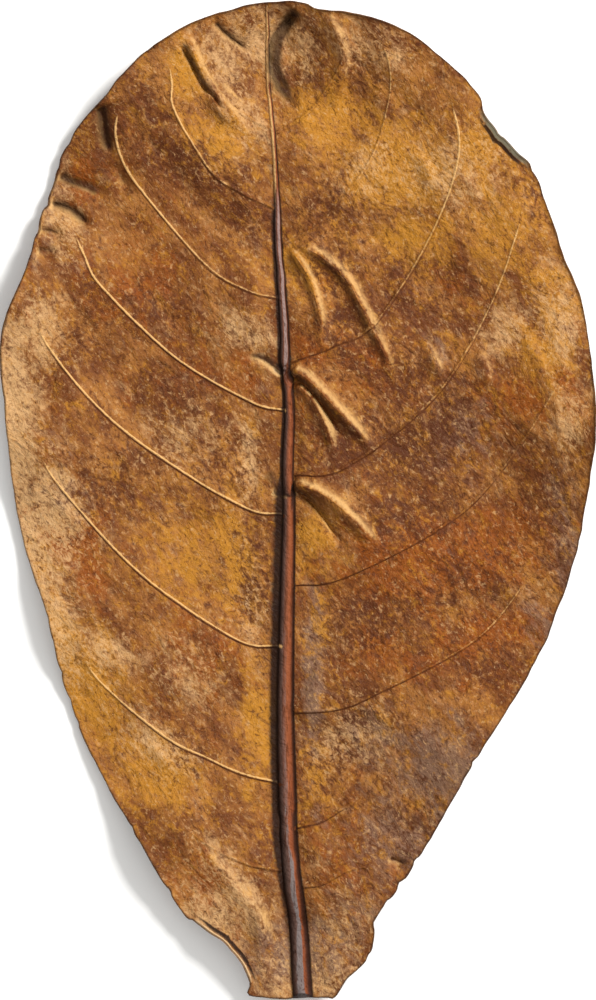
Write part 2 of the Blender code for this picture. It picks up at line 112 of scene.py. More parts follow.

# Side ribs, each from the midrib towards the margin: (how strong the painted highlight on its crest is at
# its start and at its end, how dark the painted shade at its foot is at its start and at its end, its line)
SIDE_RIBS = [
    (0.3, 0.1, 0.7, 0.1, [(-4.2, -81.6), (-11.2, -80.1), (-18.3, -77), (-24.9, -72.2)]),
    (0.8, 0.7, 0.9, 0.4, [
        (-3.5, -62.5), (-11.7, -60.5), (-19.4, -57.2), (-29.3, -52.1), (-43.6, -40), (-48, -33)]),
    (0.7, 0.8, 0.9, 0.6, [
        (-3.7, -32.1), (-12.5, -31.2), (-26.4, -22.7), (-38.7, -12.5), (-53.5, 4.4), (-57.2, 12.1)]),
    (0.7, 0.9, 0.9, 0.6, [
        (-3.3, -2.9), (-11.7, -1.5), (-29.9, 9.2), (-44.2, 20.5), (-55.4, 34.3), (-57.4, 41)]),
    (0.7, 0.9, 0.9, 0.6, [
        (-2.9, 20), (-10.1, 21.8), (-26.8, 31.5), (-43.3, 47.1), (-47.5, 54.6), (-50.4, 61.6)]),
    (0.4, 1, 0.8, 0.3, [
        (-4.2, 44.7), (-11.7, 46.6), (-20.9, 52.6), (-36.1, 70.8), (-40.1, 80.3), (-39.2, 88)]),
    (0.1, 1, 0.7, 0.4, [
        (-5.1, 64.5), (-13, 68.4), (-19.4, 73), (-27.3, 86), (-27.9, 92), (-28.6, 97)]),
    (0, 0.2, 0.3, 0.2, [(-5.6, 81.8), (-11.7, 84.7), (-16.9, 88.6), (-20.7, 95), (-22.4, 101)]),
    (0, 0.2, 0.8, 0.2, [(0.7, -85.1), (5.1, -84.5), (10.3, -81.8), (16.1, -80.5)]),
    (0.1, 0.2, 0.9, 0.3, [(-0.2, -72.2), (5.1, -70.8), (10.3, -67.8), (16.9, -65.3)]),
    (0.1, 0.5, 0.9, 0.4, [(-1.3, -46.6), (8.8, -45.8), (17.2, -42.5), (39.6, -30.4), (52.1, -15.4)]),
    (0.1, 0.4, 0.9, 0.3, [
        (-0.9, -18.5), (10.1, -16.7), (33.2, -4.8), (45.8, 7.9), (57.2, 25.5), (58.5, 33)]),
    (0, 0.7, 0.9, 0.3, [
        (-1.1, 5.7), (10.1, 7.3), (29.9, 22.7), (42, 42), (48.6, 60.5), (49.3, 67.1)]),
    (0, 1, 0.8, 0.3, [
        (-2.2, 30.4), (7.9, 34.3), (16.9, 39.2), (29, 57.9), (35.4, 76.3), (33.2, 91)]),
    (0, 0.6, 0.4, 0.4, [
        (-3.5, 56.5), (5.1, 61.6), (16.1, 75.5), (20.2, 89.1), (20, 97), (17, 102.8)]),
    (0.1, 0.2, 0.5, 0.3, [(-5.3, 81), (1.5, 85.1), (7, 92), (10, 97.2), (10.3, 101.4)]),
]
SIDE_RIB_WIDTH = (1.0, 0.5)
SIDE_RIB_HEIGHT = (0.45, 0.18)
SIDE_RIB_RUN_OUT = 0.12
SIDE_RIB_ROWS = (-1.0, -0.5, 0.0, 0.5, 1.0)

# Folds of the dried blade. Each is (height, width on the left of its run, width on the right,
# share of its length over which it rises, its line). A valley has a height below nought. The
# crest is rounded over a share of the width, and the fold runs out over the last of its length.
FOLDS = [
    (2.7, 1.2, 1.5, 0.04, [(-1.5, 29.2), (2.2, 26.8), (7, 21.8), (12, 16.4), (15.6, 12.4), (18.4, 9)]),
    (1.9, 0.8, 0.9, 0.05, [(-0.2, 25.6), (2.4, 22.8), (4.9, 18.8), (6.8, 14.2), (8.6, 8)]),
    (-1.6, 0.9, 0.9, 0.05, [(-1.3, 27.8), (1, 25.8), (4.4, 22), (7.6, 17.2), (10.6, 11.6)]),
    (2.5, 1, 1.7, 0.04, [(-0.9, 3.7), (2.8, 2.6), (7, 0.2), (11.4, -3.6), (15.4, -7.8), (19, -12.4)]),
    (-1.4, 0.8, 0.8, 0.05, [(-1.1, 2.2), (1.6, 0.8), (4.2, -2), (7, -5.8), (11, -11.6)]),
    (2.3, 1.2, 1, 0.12, [
        (-0.9, 56.4), (4, 54.6), (8.8, 50.8), (11.8, 47), (15.2, 40.2), (19.4, 31.4), (23, 22)]),
    (2, 0.9, 1, 0.12, [(-2.4, 56), (0, 53.2), (1.9, 50.2), (3.3, 46.4), (4.3, 42.6), (5.2, 38), (5.8, 32)]),
    (-2.6, 1.7, 1.7, 0.05, [
        (-0.2, 108.4), (-4.2, 102.7), (-5.3, 97.2), (-4.4, 93.6), (-1.6, 88.6), (2.4, 83.6)]),
    (1.9, 1.3, 2.2, 0.1, [(5.9, 107.6), (9.2, 101.5), (9.9, 96.2), (8.4, 90), (5, 87.4)]),
    (-1.9, 1.1, 1.1, 0.1, [(-18.9, 106), (-15.8, 103), (-12.3, 100.5), (-9.6, 98.6)]),
    (2.1, 1.1, 1.5, 0.1, [(-24.6, 103), (-23.1, 98.6), (-20.9, 94.2), (-16.9, 88.2), (-13, 83.4), (-9, 79)]),
    (-2.4, 1.8, 1.8, 0.1, [(-43.6, 87.6), (-42.9, 83.6), (-42.2, 79.6), (-40.4, 74.6)]),
    (-2.1, 1.4, 1.4, 0.1, [(-53.4, 72.4), (-50.4, 70.8), (-46.6, 69.6), (-41.3, 66.8)]),
    (-2.3, 1.2, 1.2, 0.1, [(-55.2, 65.8), (-52.4, 65.3), (-49.4, 63.8), (-44.6, 59.4)]),
    (-2.2, 0.9, 0.9, 0.05, [(-3.1, 28), (-4.6, 29.2), (-6.8, 31), (-9.2, 32.1), (-12.8, 32.4)]),
    (0.7, 0.7, 0.7, 0.05, [(-3.4, 26.6), (-6, 28.4), (-8.8, 29.8), (-12, 30)]),
    (-1.5, 1.6, 1.6, 0.1, [(-3.1, 1.3), (-4.6, 3.1), (-5.9, 5.7), (-7.9, 7.9)]),
    (1.1, 0.9, 1.6, 0.3, [(27.7, 36.3), (29, 33.4), (32.3, 26.4)]),
    (1.2, 0.9, 1.8, 0.3, [(38.7, 34.1), (40.9, 30.8), (42.7, 23.1)]),
    (0.9, 0.9, 1.6, 0.3, [(26.2, 20.9), (27.7, 16.5), (28.8, 11.4)]),
    (-1.4, 0.9, 0.9, 0.1, [(19.8, -78.8), (22.4, -79.6), (24.6, -80.6)]),
    (1.2, 1.2, 1.6, 0.3, [(-8.6, -86), (-8.4, -94.6), (-7.9, -101.2), (-6.6, -107)]),
]
# Smaller creases that only the dressed leaf has
CREASES = [
    (0.6, 0.8, 1.4, 0.2, [(1.8, 17.2), (1.6, 13), (1.2, 9)]),
    (1.6, 1.5, 2.6, 0.3, [(-24, -73.4), (-17.6, -81), (-9.4, -90.6), (-5.4, -100), (-4, -107)]),
    (1.3, 0.8, 1, 0.2, [(-20.4, 90.6), (-18.4, 87.6), (-16, 84.6), (-13.6, 82.4)]),
    (-1.5, 1, 1, 0.1, [(-57.2, 60), (-54.6, 59.6), (-51.4, 58.4)]),
    (-1.5, 1.4, 1.4, 0.1, [(-57.8, 55.4), (-55, 55.2), (-52.8, 54.2)]),
    (-1.2, 1.6, 1.6, 0.2, [(-40.6, 75.6), (-38.8, 71.4), (-36.6, 67.6)]),
    (0.9, 0.8, 1.2, 0.2, [(-36, 88), (-33.6, 83.4), (-30.8, 79.6)]),
    (0.8, 0.8, 1.2, 0.3, [(-55, 2), (-50.6, -3), (-47.6, -8.6)]),
    (0.8, 0.9, 1.3, 0.3, [(-34, -52.4), (-30, -56.8), (-27.4, -61)]),
    (0.8, 0.9, 1.3, 0.3, [(-40.6, 12.6), (-37.6, 8.4), (-35.4, 3)]),
    (0.8, 0.9, 1.3, 0.3, [(24.6, 77.8), (28, 74), (30.2, 69)]),
    (0.8, 0.9, 1.3, 0.3, [(35.2, 73), (38.6, 68.6), (40.4, 64)]),
    (0.5, 1, 1, 0.3, [(3.5, -33), (4.2, -37), (3.6, -42), (4.4, -48)]),
    (-0.9, 2.2, 2.2, 0.3, [(-9.4, 26), (-9.8, 10), (-10.4, -8), (-10.2, -24), (-9.6, -32)]),
    (-0.6, 0.7, 0.7, 0.2, [(-53, -28.6), (-50, -28.4), (-47.6, -28.9)]),
    (-0.5, 0.7, 0.7, 0.2, [(-50.6, -36), (-48, -36.6), (-46, -36.2)]),
    (-0.5, 0.7, 0.7, 0.2, [(-49, -43.4), (-46.2, -43), (-44.6, -43.8)]),
    (-0.6, 0.7, 0.7, 0.2, [(-45, -53.6), (-42.2, -52.4), (-39, -52)]),
    (-0.6, 0.7, 0.7, 0.2, [(-53.4, -21), (-50.6, -21.8), (-48, -21.2)]),
    (0.6, 0.7, 1.2, 0.3, [(50.2, 37), (52, 33.4), (54.4, 28.6)]),
    (0.6, 0.7, 1.2, 0.3, [(56.4, 20), (58, 15), (58.4, 10)]),
    (0.7, 0.8, 1.4, 0.3, [(29.2, 33.2), (30.6, 30), (31.6, 27)]),
    (0.5, 0.8, 0.8, 0.3, [(-58, 30), (-56.6, 22), (-57.6, 14)]),
    (-0.7, 0.7, 0.7, 0.3, [(-53.4, 30.4), (-54.6, 22), (-56.2, 18)]),
    (-0.7, 0.6, 0.6, 0.1, [(11.8, -102), (13, -103), (14.4, -103.4)]),
    (-0.6, 0.8, 0.8, 0.1, [(21.6, -80.6), (23.8, -81.8), (25, -82.2)]),
    (0.35, 0.5, 0.5, 0.3, [(14.7, -15.4), (19.6, -19.6), (24.6, -23.1), (27, -27.6)]),
    (0.35, 0.5, 0.5, 0.3, [(13.2, -44.7), (18.7, -48), (22.4, -52)]),
    (0.35, 0.5, 0.5, 0.3, [(29.5, -36.1), (33, -37.8), (36, -41.6)]),
    (0.35, 0.5, 0.5, 0.3, [(-33, -20), (-30, -12), (-31, -4)]),
    (0.35, 0.5, 0.5, 0.3, [(-28, 12), (-24, 19), (-25, 27)]),
    (0.35, 0.5, 0.5, 0.3, [(33, 12), (36, 3), (41, -3)]),
    (-1.2, 0.7, 0.7, 0.1, [(-5.2, 29.4), (-3.4, 28.6), (-1.6, 28.4)]),
    (-1.4, 0.7, 0.7, 0.1, [(-5.6, 2.2), (-3.2, 1.5), (-0.6, 1.4)]),
    (-1.5, 0.6, 0.6, 0.1, [(-26, 100.8), (-23.6, 96.2), (-20.9, 91.3), (-18.3, 88.4), (-15.4, 83.6)]),
    (-1.2, 0.5, 0.6, 0.1, [(-0.6, 108.4), (-4.7, 102.7), (-5.7, 97.2), (-4.9, 93.6), (-2.4, 90.2)]),
    (0.9, 0.6, 0.9, 0.2, [(-17.6, 92.4), (-15.4, 89.8), (-13, 87.8), (-10.4, 86.4)]),
]
FOLD_CREST = 0.25
FOLD_RUN_OUT = 0.38
FOLD_REACH = 6.0

# Where the margin has rolled up: (x, y, reach along the margin, angle in degrees)
ROLLS = [
    (46, 80, 9, 78),
    (-15.5, -98.5, 9, 110),
    (14, 106.5, 10, 50),
    (-24, 104.5, 10, 35),
    (58, 55, 18, 45),
    (65, 20, 22, 30),
    (-65, 33, 16, 35),
]
ROLL_DEPTH = 1.3
LEAST_ROLL = math.radians(20)
# Where the curled lip has another colour: (x, y, reach, its own grey above nought or a painted highlight
# below it, width of the lip), and the half width of the painted shadow in the crease at its foot
LIPS = [(46.0, 80.2, 8.0, 1.0, 1.1), (-15.5, -98.5, 9.0, -1.0, 0.85)]
LIP_CREASE = 0.55

# The cupped form: the margin stands up and falls away inwards, in waves, and so do both ends.
# The blade sinks a depth over a half width along the midrib, and between the side ribs.
MARGIN_LIFT = 5.0
MARGIN_REACH = 14.0
MARGIN_WAVE = 0.3
END_LIFT = 2.5
TROUGH_DEPTH = 1.3
TROUGH_HALF = 4.5
PANEL_DEPTH = 0.8
PANEL_HALF = 6.0
MARGIN_WAVES = [(1.0, 50.0, 27.9, 0.0), (1.0, 63.2, 110.0, 2.0)]
BLADE_WAVES = [
    (0.9, 52.0, 20.0, 0.4), (0.7, 37.0, 75.0, 2.0), (0.5, 26.0, 130.0, 4.1), (0.4, 61.0, 160.0, 1.2),
]
REST_HEIGHT = -0.65
REST_EASING = 0.25

# How far apart the mesh points stand, in the open blade and along what it follows
FIELD_SPACING = 1.0
FINE_SPACING = 0.5
FINE_REACH = 1.8
MARGIN_SPACING = 0.8
RIB_SPACING = 0.9
RIB_GAP = 0.25
FOLD_SPACING = 0.55
FOLD_INSET = 0.9
ROLL_ROWS = (0.4, 0.8, 1.2, 1.6, 2.0)
POINT_GAP = 0.38
# Points nearer to each other than this are made one, and only triangles within the margin are kept
WELD = 0.02
KEEP_INSIDE = 1

# Curves through the tables' points: how many steps they take from one point to the next, and how
# far apart the points of the midrib's line, and of the side ribs' and folds' lines, then stand
CURVE_STEPS = 16
MIDRIB_STEP = 2.0
FINE_STEP = 0.5
# Most distances from points to pieces of a line that are worked out at once
BATCH = 1_000_000
# Least length that is divided by, what counts as on the margin, in millimetres, and the angle of a
# margin that hasn't rolled, in radians
TINY = 1e-9
ON_MARGIN = 1e-4
UNTURNED = 1e-3
# How far the rim bulges out, as a share of its thickness, and the angle between two faces past
# which their edge shows
RIM_BULGE = 0.25
SHARP_EDGE = math.radians(55)

# Levels of the noise that the nicks, the quilting and the wrinkles are taken from
NICK_LEVEL = 7.0
QUILT_LEVEL = 3.0
WRINKLE_LEVEL = 11.0
# Quilting between the ribs and nicks of the margin, each (height, length) in millimetres
QUILTING = [(0.2, 7.5), (0.1, 3.4)]
# Wrinkles drawn out down to the right: (height, width, how far drawn out, direction in degrees)
WRINKLES = [(0.42, 5.2, 3.0, 38.0), (0.2, 2.9, 2.6, 50.0)]
NICKS = [(0.28, 7.0), (0.16, 2.6)]
# Larger bites out of the margin: (x, y, half width, depth)
BITES = [
    (-55, 65.3, 0.9, 1), (-52.4, 73.7, 1.2, 0.5), (-50.2, 78.5, 1, 0.4), (-57.6, 59.6, 1.2, 0.4),
    (-54.4, -25.5, 0.8, 0.3), (-53.4, -30.8, 0.8, 0.4), (-52, -37.8, 0.8, 0.4), (-50, -43.8, 0.9, 0.4),
    (-48.6, -49, 0.8, 0.3), (38.3, -57.2, 0.8, 0.5), (26, -79.4, 1, 0.6), (22.8, -84.6, 1.1, 0.7),
    (19.4, -88.2, 0.9, 0.5), (16.4, -93.2, 0.9, 0.6), (15.6, -100.2, 1, 0.5), (51.4, 72.8, 1, 0.5),
    (44.6, 81, 1, 0.4), (-28.4, -86, 0.9, 0.4), (-36.8, -72, 0.8, 0.3),
]

# Stains of the skin: (x, y, half width, half height, turn in degrees, strength)
STAINS = {
    "umber": [
        (-34, 88, 6, 13, 20, 0.35), (-43, 82, 4, 8, 10, 0.2),
        (-23, 74, 14, 5, -30, 0.6), (-11, 62, 8, 5, -30, 0.4),
        (-32, 44, 16, 7, -15, 0.3), (-48, 36, 6, 5, 0, 0.4),
        (-28, 24, 12, 6, -30, 0.3), (16, 92, 6, 10, 10, 0.3),
        (2, 100, 3, 7, 0, 0.2), (24, 28, 12, 9, -30, 0.5),
        (33, 18, 8, 10, -30, 0.7), (20, 8, 12, 6, 20, 0.4),
        (53, 0, 8, 10, 10, 0.4), (15, -27, 12, 10, 0, 0.55),
        (42, -36, 10, 6, 30, 0.4), (14, -46, 9, 8, 0, 0.4),
        (-42, 4, 10, 12, 0, 0.4), (-14, -38, 6, 5, 0, 0.1),
        (-24, -68, 9, 5, -20, 0.1), (24, -72, 8, 10, 30, 0.4),
        (53, 68, 5, 8, 20, 0.4), (10, 38, 9, 12, -30, 0.5), (7, 64, 7, 7, 0, 0.5),
        (14, 12, 12, 10, 0, 0.5), (24, -5, 14, 8, 0, 0.5),
        (-16, 6, 12, 8, -20, 0.4), (-9, -17, 6, 15, 0, 0.5),
        (-8, -32, 4, 10, 0, 0.3), (34, -2, 8, 10, 0, 0.4),
        (36, -17, 18, 12, 10, 0.42), (56, -8, 6, 12, 0, 0.5),
        (25, 13, 11, 10, 0, 0.75), (8, -57, 8, 9, 0, 0.4),
        (8, 50, 8, 9, 0, 0.5), (25, 46, 10, 8, 0, 0.4),
        (-24, -57, 8, 7, -30, 0.3), (24, -24, 10, 8, 0, 0.5),
    ],
    "russet": [
        (-36, 50, 14, 9, 0, 0.6), (-46, 72, 7, 8, 10, 0.6),
        (30, -13, 24, 10, 10, 1), (50, 22, 10, 6, 0, 0.8),
        (44, -28, 12, 6, 15, 0.8), (22, -34, 16, 8, 0, 0.6),
        (8, 30, 14, 10, 0, 0.5), (-47, -12, 7, 14, 10, 0.6),
        (-20, -32, 12, 14, 0, 0.5), (-18, 30, 14, 9, 0, 0.4),
        (-22, -84, 10, 8, 30, 0.5), (10, -78, 8, 12, 0, 0.5),
        (34, 50, 8, 7, 0, 0.4),
    ],
    "gold": [
        (-25, 95, 4, 7, 20, 0.9), (-18, 80, 9, 5, -20, 0.8),
        (6, 84, 9, 8, 0, 0.8), (22, 74, 13, 10, 0, 0.9),
        (40, 78, 8, 8, -40, 0.7), (46, 62, 10, 12, -30, 0.6),
        (55, 48, 6, 10, 20, 0.55), (26, 58, 10, 5, 0, 0.8),
        (54, 32, 8, 7, 10, 0.6), (-46, -42, 7, 12, 20, 1),
        (-32, -60, 10, 8, -35, 0.8), (-14, -14, 5, 16, 0, 0.8),
        (-26, -12, 8, 12, 0, 0.6), (-9, -50, 4, 14, 0, 0.8),
        (4, -8, 5, 7, 0, 0.8), (5, -28, 2.5, 10, 0, 0.6),
        (-54, -24, 4, 14, 12, 0.5), (4, -62, 4, 10, 0, 0.4),
        (0, 52, 8, 5, -30, 0.6),
    ],
    "straw": [
        (-17, 97, 8, 7, -30, 0.6), (-12, 86, 5, 9, 20, 0.6),
        (-63, 16, 6, 24, 3, 1), (-58, 38, 6, 9, 0, 0.7),
        (-59, -10, 6, 18, 14, 1), (-11, 37, 7, 4, -20, 0.8),
        (-26, 14, 9, 8, 0, 0.4), (17, 74, 8, 7, 0, 0.6),
        (32, 72, 12, 8, -10, 0.7), (42, 78, 5, 6, 0, 0.5),
        (58, 40, 5, 14, 5, 0.65), (60, 18, 4, 10, 0, 0.6),
        (47, 38, 7, 6, 0, 0.6), (-43, -34, 6, 6, 0, 0.8),
        (-31, -54, 9, 5, -38, 0.8), (12, -52, 8, 6, 20, 0.6),
        (2, 96, 2, 5, 0, 0.8), (-14, -86, 4, 14, 35, 0.8), (-53, -28, 5, 12, 16, 1.1),
        (9, -96, 8, 12, 0, 0.4),
        (-52, 62, 5, 10, 14, 0.6), (-24, -38, 8, 8, 0, 0.5),
        (-6, 102, 18, 7, 0, 0.6), (16, 100, 12, 6, -20, 0.5),
        (-11, 10, 3, 12, 0, 0.6), (-11, -24, 3, 10, 0, 0.4),
        (-54, -4, 7, 13, 10, 1), (-18, -91, 10, 7, -30, 0.75),
        (2, -105, 16, 9, 0, 0.6),
    ],
    "ash": [
        (36, 16, 9, 10, -20, 0.7), (30, 34, 5, 6, 0, 0.6),
        (59, -8, 4, 18, 6, 0.9), (54, -28, 4, 10, 30, 0.6),
        (32, -60, 12, 14, 35, 1), (22, -74, 9, 12, 30, 0.9),
        (16, -52, 8, 8, 10, 0.8), (14, -88, 9, 12, 0, 0.5),
        (3.5, -40, 2.5, 22, 0, 1), (-50, 0, 6, 10, 20, 0.5),
        (0, -100, 16, 9, 0, 0.9), (8, 58, 8, 7, 0, 0.3),
        (-56, 62, 4, 8, 0, 0.5), (8, 104, 8, 4, 0, 0.3),
    ],
}
# Painted shade in the cracks where the midrib has snapped over: (x, y, half height)
CUTS = [(-2.8, 28.7, 0.4), (-2.2, 1.5, 0.55)]
# Along the midrib from the base: how wide the painted shadow in the ditch on its left is, how dark the
# painted shade in the ditches on its left and its right is, how grey its back is, where across it and how
# far that reaches, and how pale its left side is
ALONG = (0.0, 0.05, 0.12, 0.16, 0.45, 0.50, 0.53, 0.62, 0.65, 0.79, 0.84, 1.0)
DITCH_WIDTH = (0.4, 0.7, 1.3, 1.9, 2.1, 2.1, 0.7, 0.7, 0.8, 0.7, 0.3, 0.3)
LEFT_DITCH = (0.3, 0.5, 0.8, 1.0, 1.0, 1.0, 1.0, 1.0, 1.0, 0.9, 0.0, 0.0)
RIGHT_DITCH = (0.5, 0.8, 0.9, 0.9, 0.9, 0.8, 0.5, 0.5, 0.8, 0.7, 0.8, 0.6)
GREY_BACK = (1.0, 1.0, 1.0, 0.5, 0.1, 0.1, 0.1, 0.2, 1.0, 0.9, 0.0, 0.0)
GREY_PLACE = (-0.05, -0.05, -0.05, -0.1, -0.3, -0.3, 0.0, 0.25, 0.25, 0.25, 0.25, 0.25)
GREY_REACH = (0.6, 0.55, 0.5, 0.45, 0.4, 0.4, 0.4, 0.45, 0.5, 0.5, 0.5, 0.5)
PALE_SIDE = (0.0, 0.0, 0.0, 0.0, 0.0, 0.0, 0.0, 0.0, 0.0, 0.1, 1.0, 1.0)
# Where the crest's painted highlight and the painted shade along its foot lie beside a side rib's middle,
# towards the tip, and how far they reach
CREST_PLACE = 0.05
CREST_REACH = 0.4
FOOT_PLACE = -0.36
FOOT_REACH = 0.3
# Direction of the key light, which the folds' flanks with painted highlight face while those facing away get
# painted shade, and the step over which their tilt is taken
LIT_FLANK_FACING = (0.76, 0.65)
FLANK_STEP = 0.4
# How far the painted shade along the margin's rim reaches inwards
RIM_REACH = 0.35

# The painted shade in the ditches beside the midrib: how far the left one reaches, in its own widths, how
# far the right one does, in millimetres, and how far across the midrib each starts
LEFT_DITCH_REACH = 1.35
RIGHT_DITCH_REACH = 0.45
DITCH_START = 0.97
# How far a cut reaches across the midrib, in half widths, and sideways, in millimetres
CUT_ACROSS = 1.1
CUT_SIDE = 3.0
# The share of the midrib's length that parts its two grey stretches
GREY_PARTING = 0.4
# Across the midrib, in half widths: where its pale side fades out and where it stops, and where
# its line on the smooth side stops and over how much it fades
PALE_SIDE_FADE = 0.6
PALE_SIDE_END = 0.98
VEIN_END = 0.6
VEIN_EASING = 0.3
# How far from its edge a lip's colour is full, in millimetres
LIP_EASING = 0.3

# Colours of the skin: (name, what it is, sRGB)
COLOURS = {
    "brown": ("Brown", "Darker brown of the plain skin", "#613311"),
    "tan": ("Tan", "Lighter brown of the plain skin", "#905C29"),
    "umber": ("Umber", "Dark brown stains", "#4B240B"),
    "russet": ("Russet", "Red-brown stains", "#7D3F0B"),
    "gold": ("Gold", "Golden stains", "#A56E20"),
    "straw": ("Straw", "Pale stains", "#B98F5F"),
    "ash": ("Ash", "Grey-brown stains", "#775945"),
    "fleck": ("Fleck", "Smallest dark flecks", "#331404"),
    # Small pale flecks of the skin, and also the painted highlight on the folds' lit flanks and on the pale
    # lip
    "glint": ("Glint", "Smallest pale flecks", "#CBA87C"),
    "moss": ("Lip", "Grey-olive back of the curled lip", "#9C967C"),
    # Painted highlight on the side ribs' crests and the folds' lit flanks, and the plain pale colour of the
    # smooth side's veins and the midrib's left side near the tip
    "rib": ("Rib crest", "Pale crest of the side ribs", "#C89C62"),
    # Colour of painted shade: on the flanks away from the light, in the fold valleys, the midrib's ditches
    # and cuts, the lip's crease and along the rim
    "foot": ("Rib foot", "Dark foot of the ribs", "#1C0A02"),
    "butt": ("Midrib at the base", "Grey midrib near the cut base", "#6B625F"),
    "nib": ("Midrib at the tip", "Grey midrib near the tip", "#84706A"),
}

# Patterns of the skin: (size of the largest features in millimetres, octaves, roughness of the
# octaves, how far they are drawn out, the direction of that in degrees from the leaf's length). The
# grit and the fleck are cork cells and pores, a few times coarser than real ones, which are too
# fine to show. The wisps are how far a pattern is twisted into itself.
PATTERNS = {
    "cloud": (9.0, 5.0, 0.62, 1.6, 38.0),
    "break": (3.8, 7.0, 0.70, 1.8, 40.0),
    "russet_break": (5.0, 7.0, 0.68, 1.5, 20.0),
    "gold_break": (3.0, 7.0, 0.70, 1.8, 35.0),
    "blotch": (1.9, 5.0, 0.70, 1.5, 38.0),
    "grit": (1.0, 4.0, 0.70, 1.4, 38.0),
    "fleck": (0.6, 3.0, 0.75, 1.3, 38.0),
    "wrinkle": (2.6, 5.0, 0.62, 2.6, 38.0),
    "crinkle": (6.5, 5.0, 0.55, 1.8, 38.0),
    "crimp": (3.0, 4.0, 0.60, 1.4, 20.0),
    "streak": (0.5, 3.0, 0.60, 9.0, 0.0),
}
WISPS = 0.8

# Coats of the skin, first to last: (colour, pattern, mark, weight of the mark beside the pattern,
# sum of both at which the coat starts, sum at which it is full, cover)
SKIN_COATS = [
    ("tan", "cloud", "gold", 0.15, 0.41, 0.66, 1.0),
    ("straw", "break", "straw", 0.30, 0.54, 0.82, 0.85),
    ("gold", "gold_break", "gold", 0.30, 0.52, 0.76, 0.9),
    ("russet", "russet_break", "russet", 0.32, 0.54, 0.76, 0.9),
    ("ash", "gold_break", "ash", -0.32, 0.44, 0.18, 0.85),
    ("umber", "break", "umber", -0.28, 0.44, 0.20, 0.9),
    ("gold", "blotch", "gold", 0.14, 0.52, 0.70, 0.7),
    ("umber", "blotch", "umber", -0.18, 0.46, 0.30, 0.85),
    ("straw", "grit", "straw", 0.15, 0.54, 0.70, 0.65),
    ("umber", "grit", "umber", -0.14, 0.46, 0.32, 0.8),
    ("fleck", "fleck", "umber", -0.06, 0.43, 0.28, 0.65),
    ("glint", "fleck", "straw", 0.08, 0.58, 0.78, 0.5),
]
# Coats that follow the relief: painted highlights on the rib crests and on the flanks that face the light,
# painted shade on the flanks that face away, in the fold valleys, at the ribs' feet and in the midrib's
# ditches, the curled lip's own grey and its painted highlight, a painted shadow in its crease and a thin rim
# of painted shade along the margin
RELIEF_COATS = [
    ("rib", "blotch", "flank", 0.7, 0.64, 1.30, 0.8),
    ("glint", "grit", "flank", 0.7, 1.10, 2.00, 0.65),
    ("foot", "blotch", "flank", -0.7, 0.75, 1.50, 0.75),
    ("foot", "blotch", "fold", -0.6, 0.90, 1.70, 0.8),
    ("umber", "grit", "foot", 1.0, 0.75, 1.15, 1.0),
    ("rib", "grit", "crest", 1.0, 0.70, 1.15, 0.95),
    ("foot", "grit", "ditch", 1.0, 0.60, 1.30, 0.95),
    ("moss", "blotch", "lip", 1.0, 0.70, 1.60, 0.95),
    ("glint", "grit", "lip", -1.0, 0.70, 1.20, 0.9),
    ("foot", "grit", "lip_crease", 1.0, 0.62, 1.10, 0.95),
    ("foot", "break", "margin", 0.6, 0.66, 1.10, 0.7),
]
# Colours across the midrib from its left foot to its right one, as it runs through the blade: its own
# red-brown, with painted shade at both feet and on its left side, which faces away from the light
MIDRIB_TONES = [
    (-1.0, "#1C0E07"), (-0.85, "#36251E"), (-0.5, "#523A31"), (-0.25, "#643926"),
    (0.2, "#844727"), (0.55, "#743A1C"), (0.8, "#34180A"), (1.0, "#1E0D05"),
]
MIDRIB_COATS = [
    ("butt", "streak", "grey_base", 1.0, 0.70, 1.30, 0.9),
    ("nib", "streak", "grey_tip", 1.0, 0.70, 1.30, 0.85),
    ("fleck", "streak", "grey_base", 0.0, 0.47, 0.34, 0.6),
    ("rib", "streak", "pale_side", 1.0, 0.80, 1.40, 0.9),
]
# Coats of the smooth side, which shows the same stains more faintly, and the veins as pale lines
SMOOTH_COATS = [
    ("russet", "cloud", "russet", 0.2, 0.40, 0.70, 0.8),
    ("gold", "gold_break", "gold", 0.30, 0.62, 0.85, 0.5),
    ("straw", "break", "straw", 0.30, 0.62, 0.88, 0.4),
    ("umber", "blotch", "umber", -0.12, 0.47, 0.30, 0.7),
    ("tan", "grit", "gold", 0.12, 0.50, 0.68, 0.6),
    ("fleck", "fleck", "umber", -0.05, 0.47, 0.30, 0.75),
    ("rib", "blotch", "vein", 1.0, 0.90, 1.70, 0.65),
]

# Fine relief of both sides. The net of the smallest veins has meshes of a size in millimetres,
# twice as wide as real ones, which are too fine to show. It is pulled about by a distance in
# metres, and its lines reach over a share of a mesh. All heights are in units of a skin's relief.
NET_SIZE = 1.3
NET_WARP = 0.0016
NET_LINE = 0.16
NET_RISE = 0.35
RELIEF = {"wrinkle": 3.6, "crinkle": 14.0, "crimp": 6.0, "blotch": 1.6, "fleck": 0.4}
# The patterns whose middle value folds the skin into sharp little creases
CREASED = ("crinkle", "crimp")
NOISE_MIDDLE = 0.5
# Values of a blotch between which a skin goes from its least roughness to its greatest
BLOTCH_RANGE = (0.35, 0.65)
# How far across the midrib its colours fade out into the blade's
MIDRIB_EDGE = (1.04, 0.98)

# Both sides are dried leaf. The ribbed one is corky, so it hardly shines and has more relief. The
# smooth one still has its wax, so it shines a little and its relief is shallow. Relief is in
# millimetres.
LEAF_IOR = 1.45
CORKY_SHINE = 0.14
CORKY_ROUGHNESS = (0.5, 0.75)
CORKY_RELIEF = 0.12
WAXY_SHINE = 0.5
WAXY_ROUGHNESS = (0.38, 0.6)
WAXY_RELIEF = 0.07
# The floor is backdrop paper with a faint mottle of its pulp, of a size in millimetres
PAPER_IOR = 1.5
PAPER_SHINE = 0.2
PAPER_ROUGHNESS = 0.9
PULP_SIZE = 30.0
PULP_SHADE = 0.97

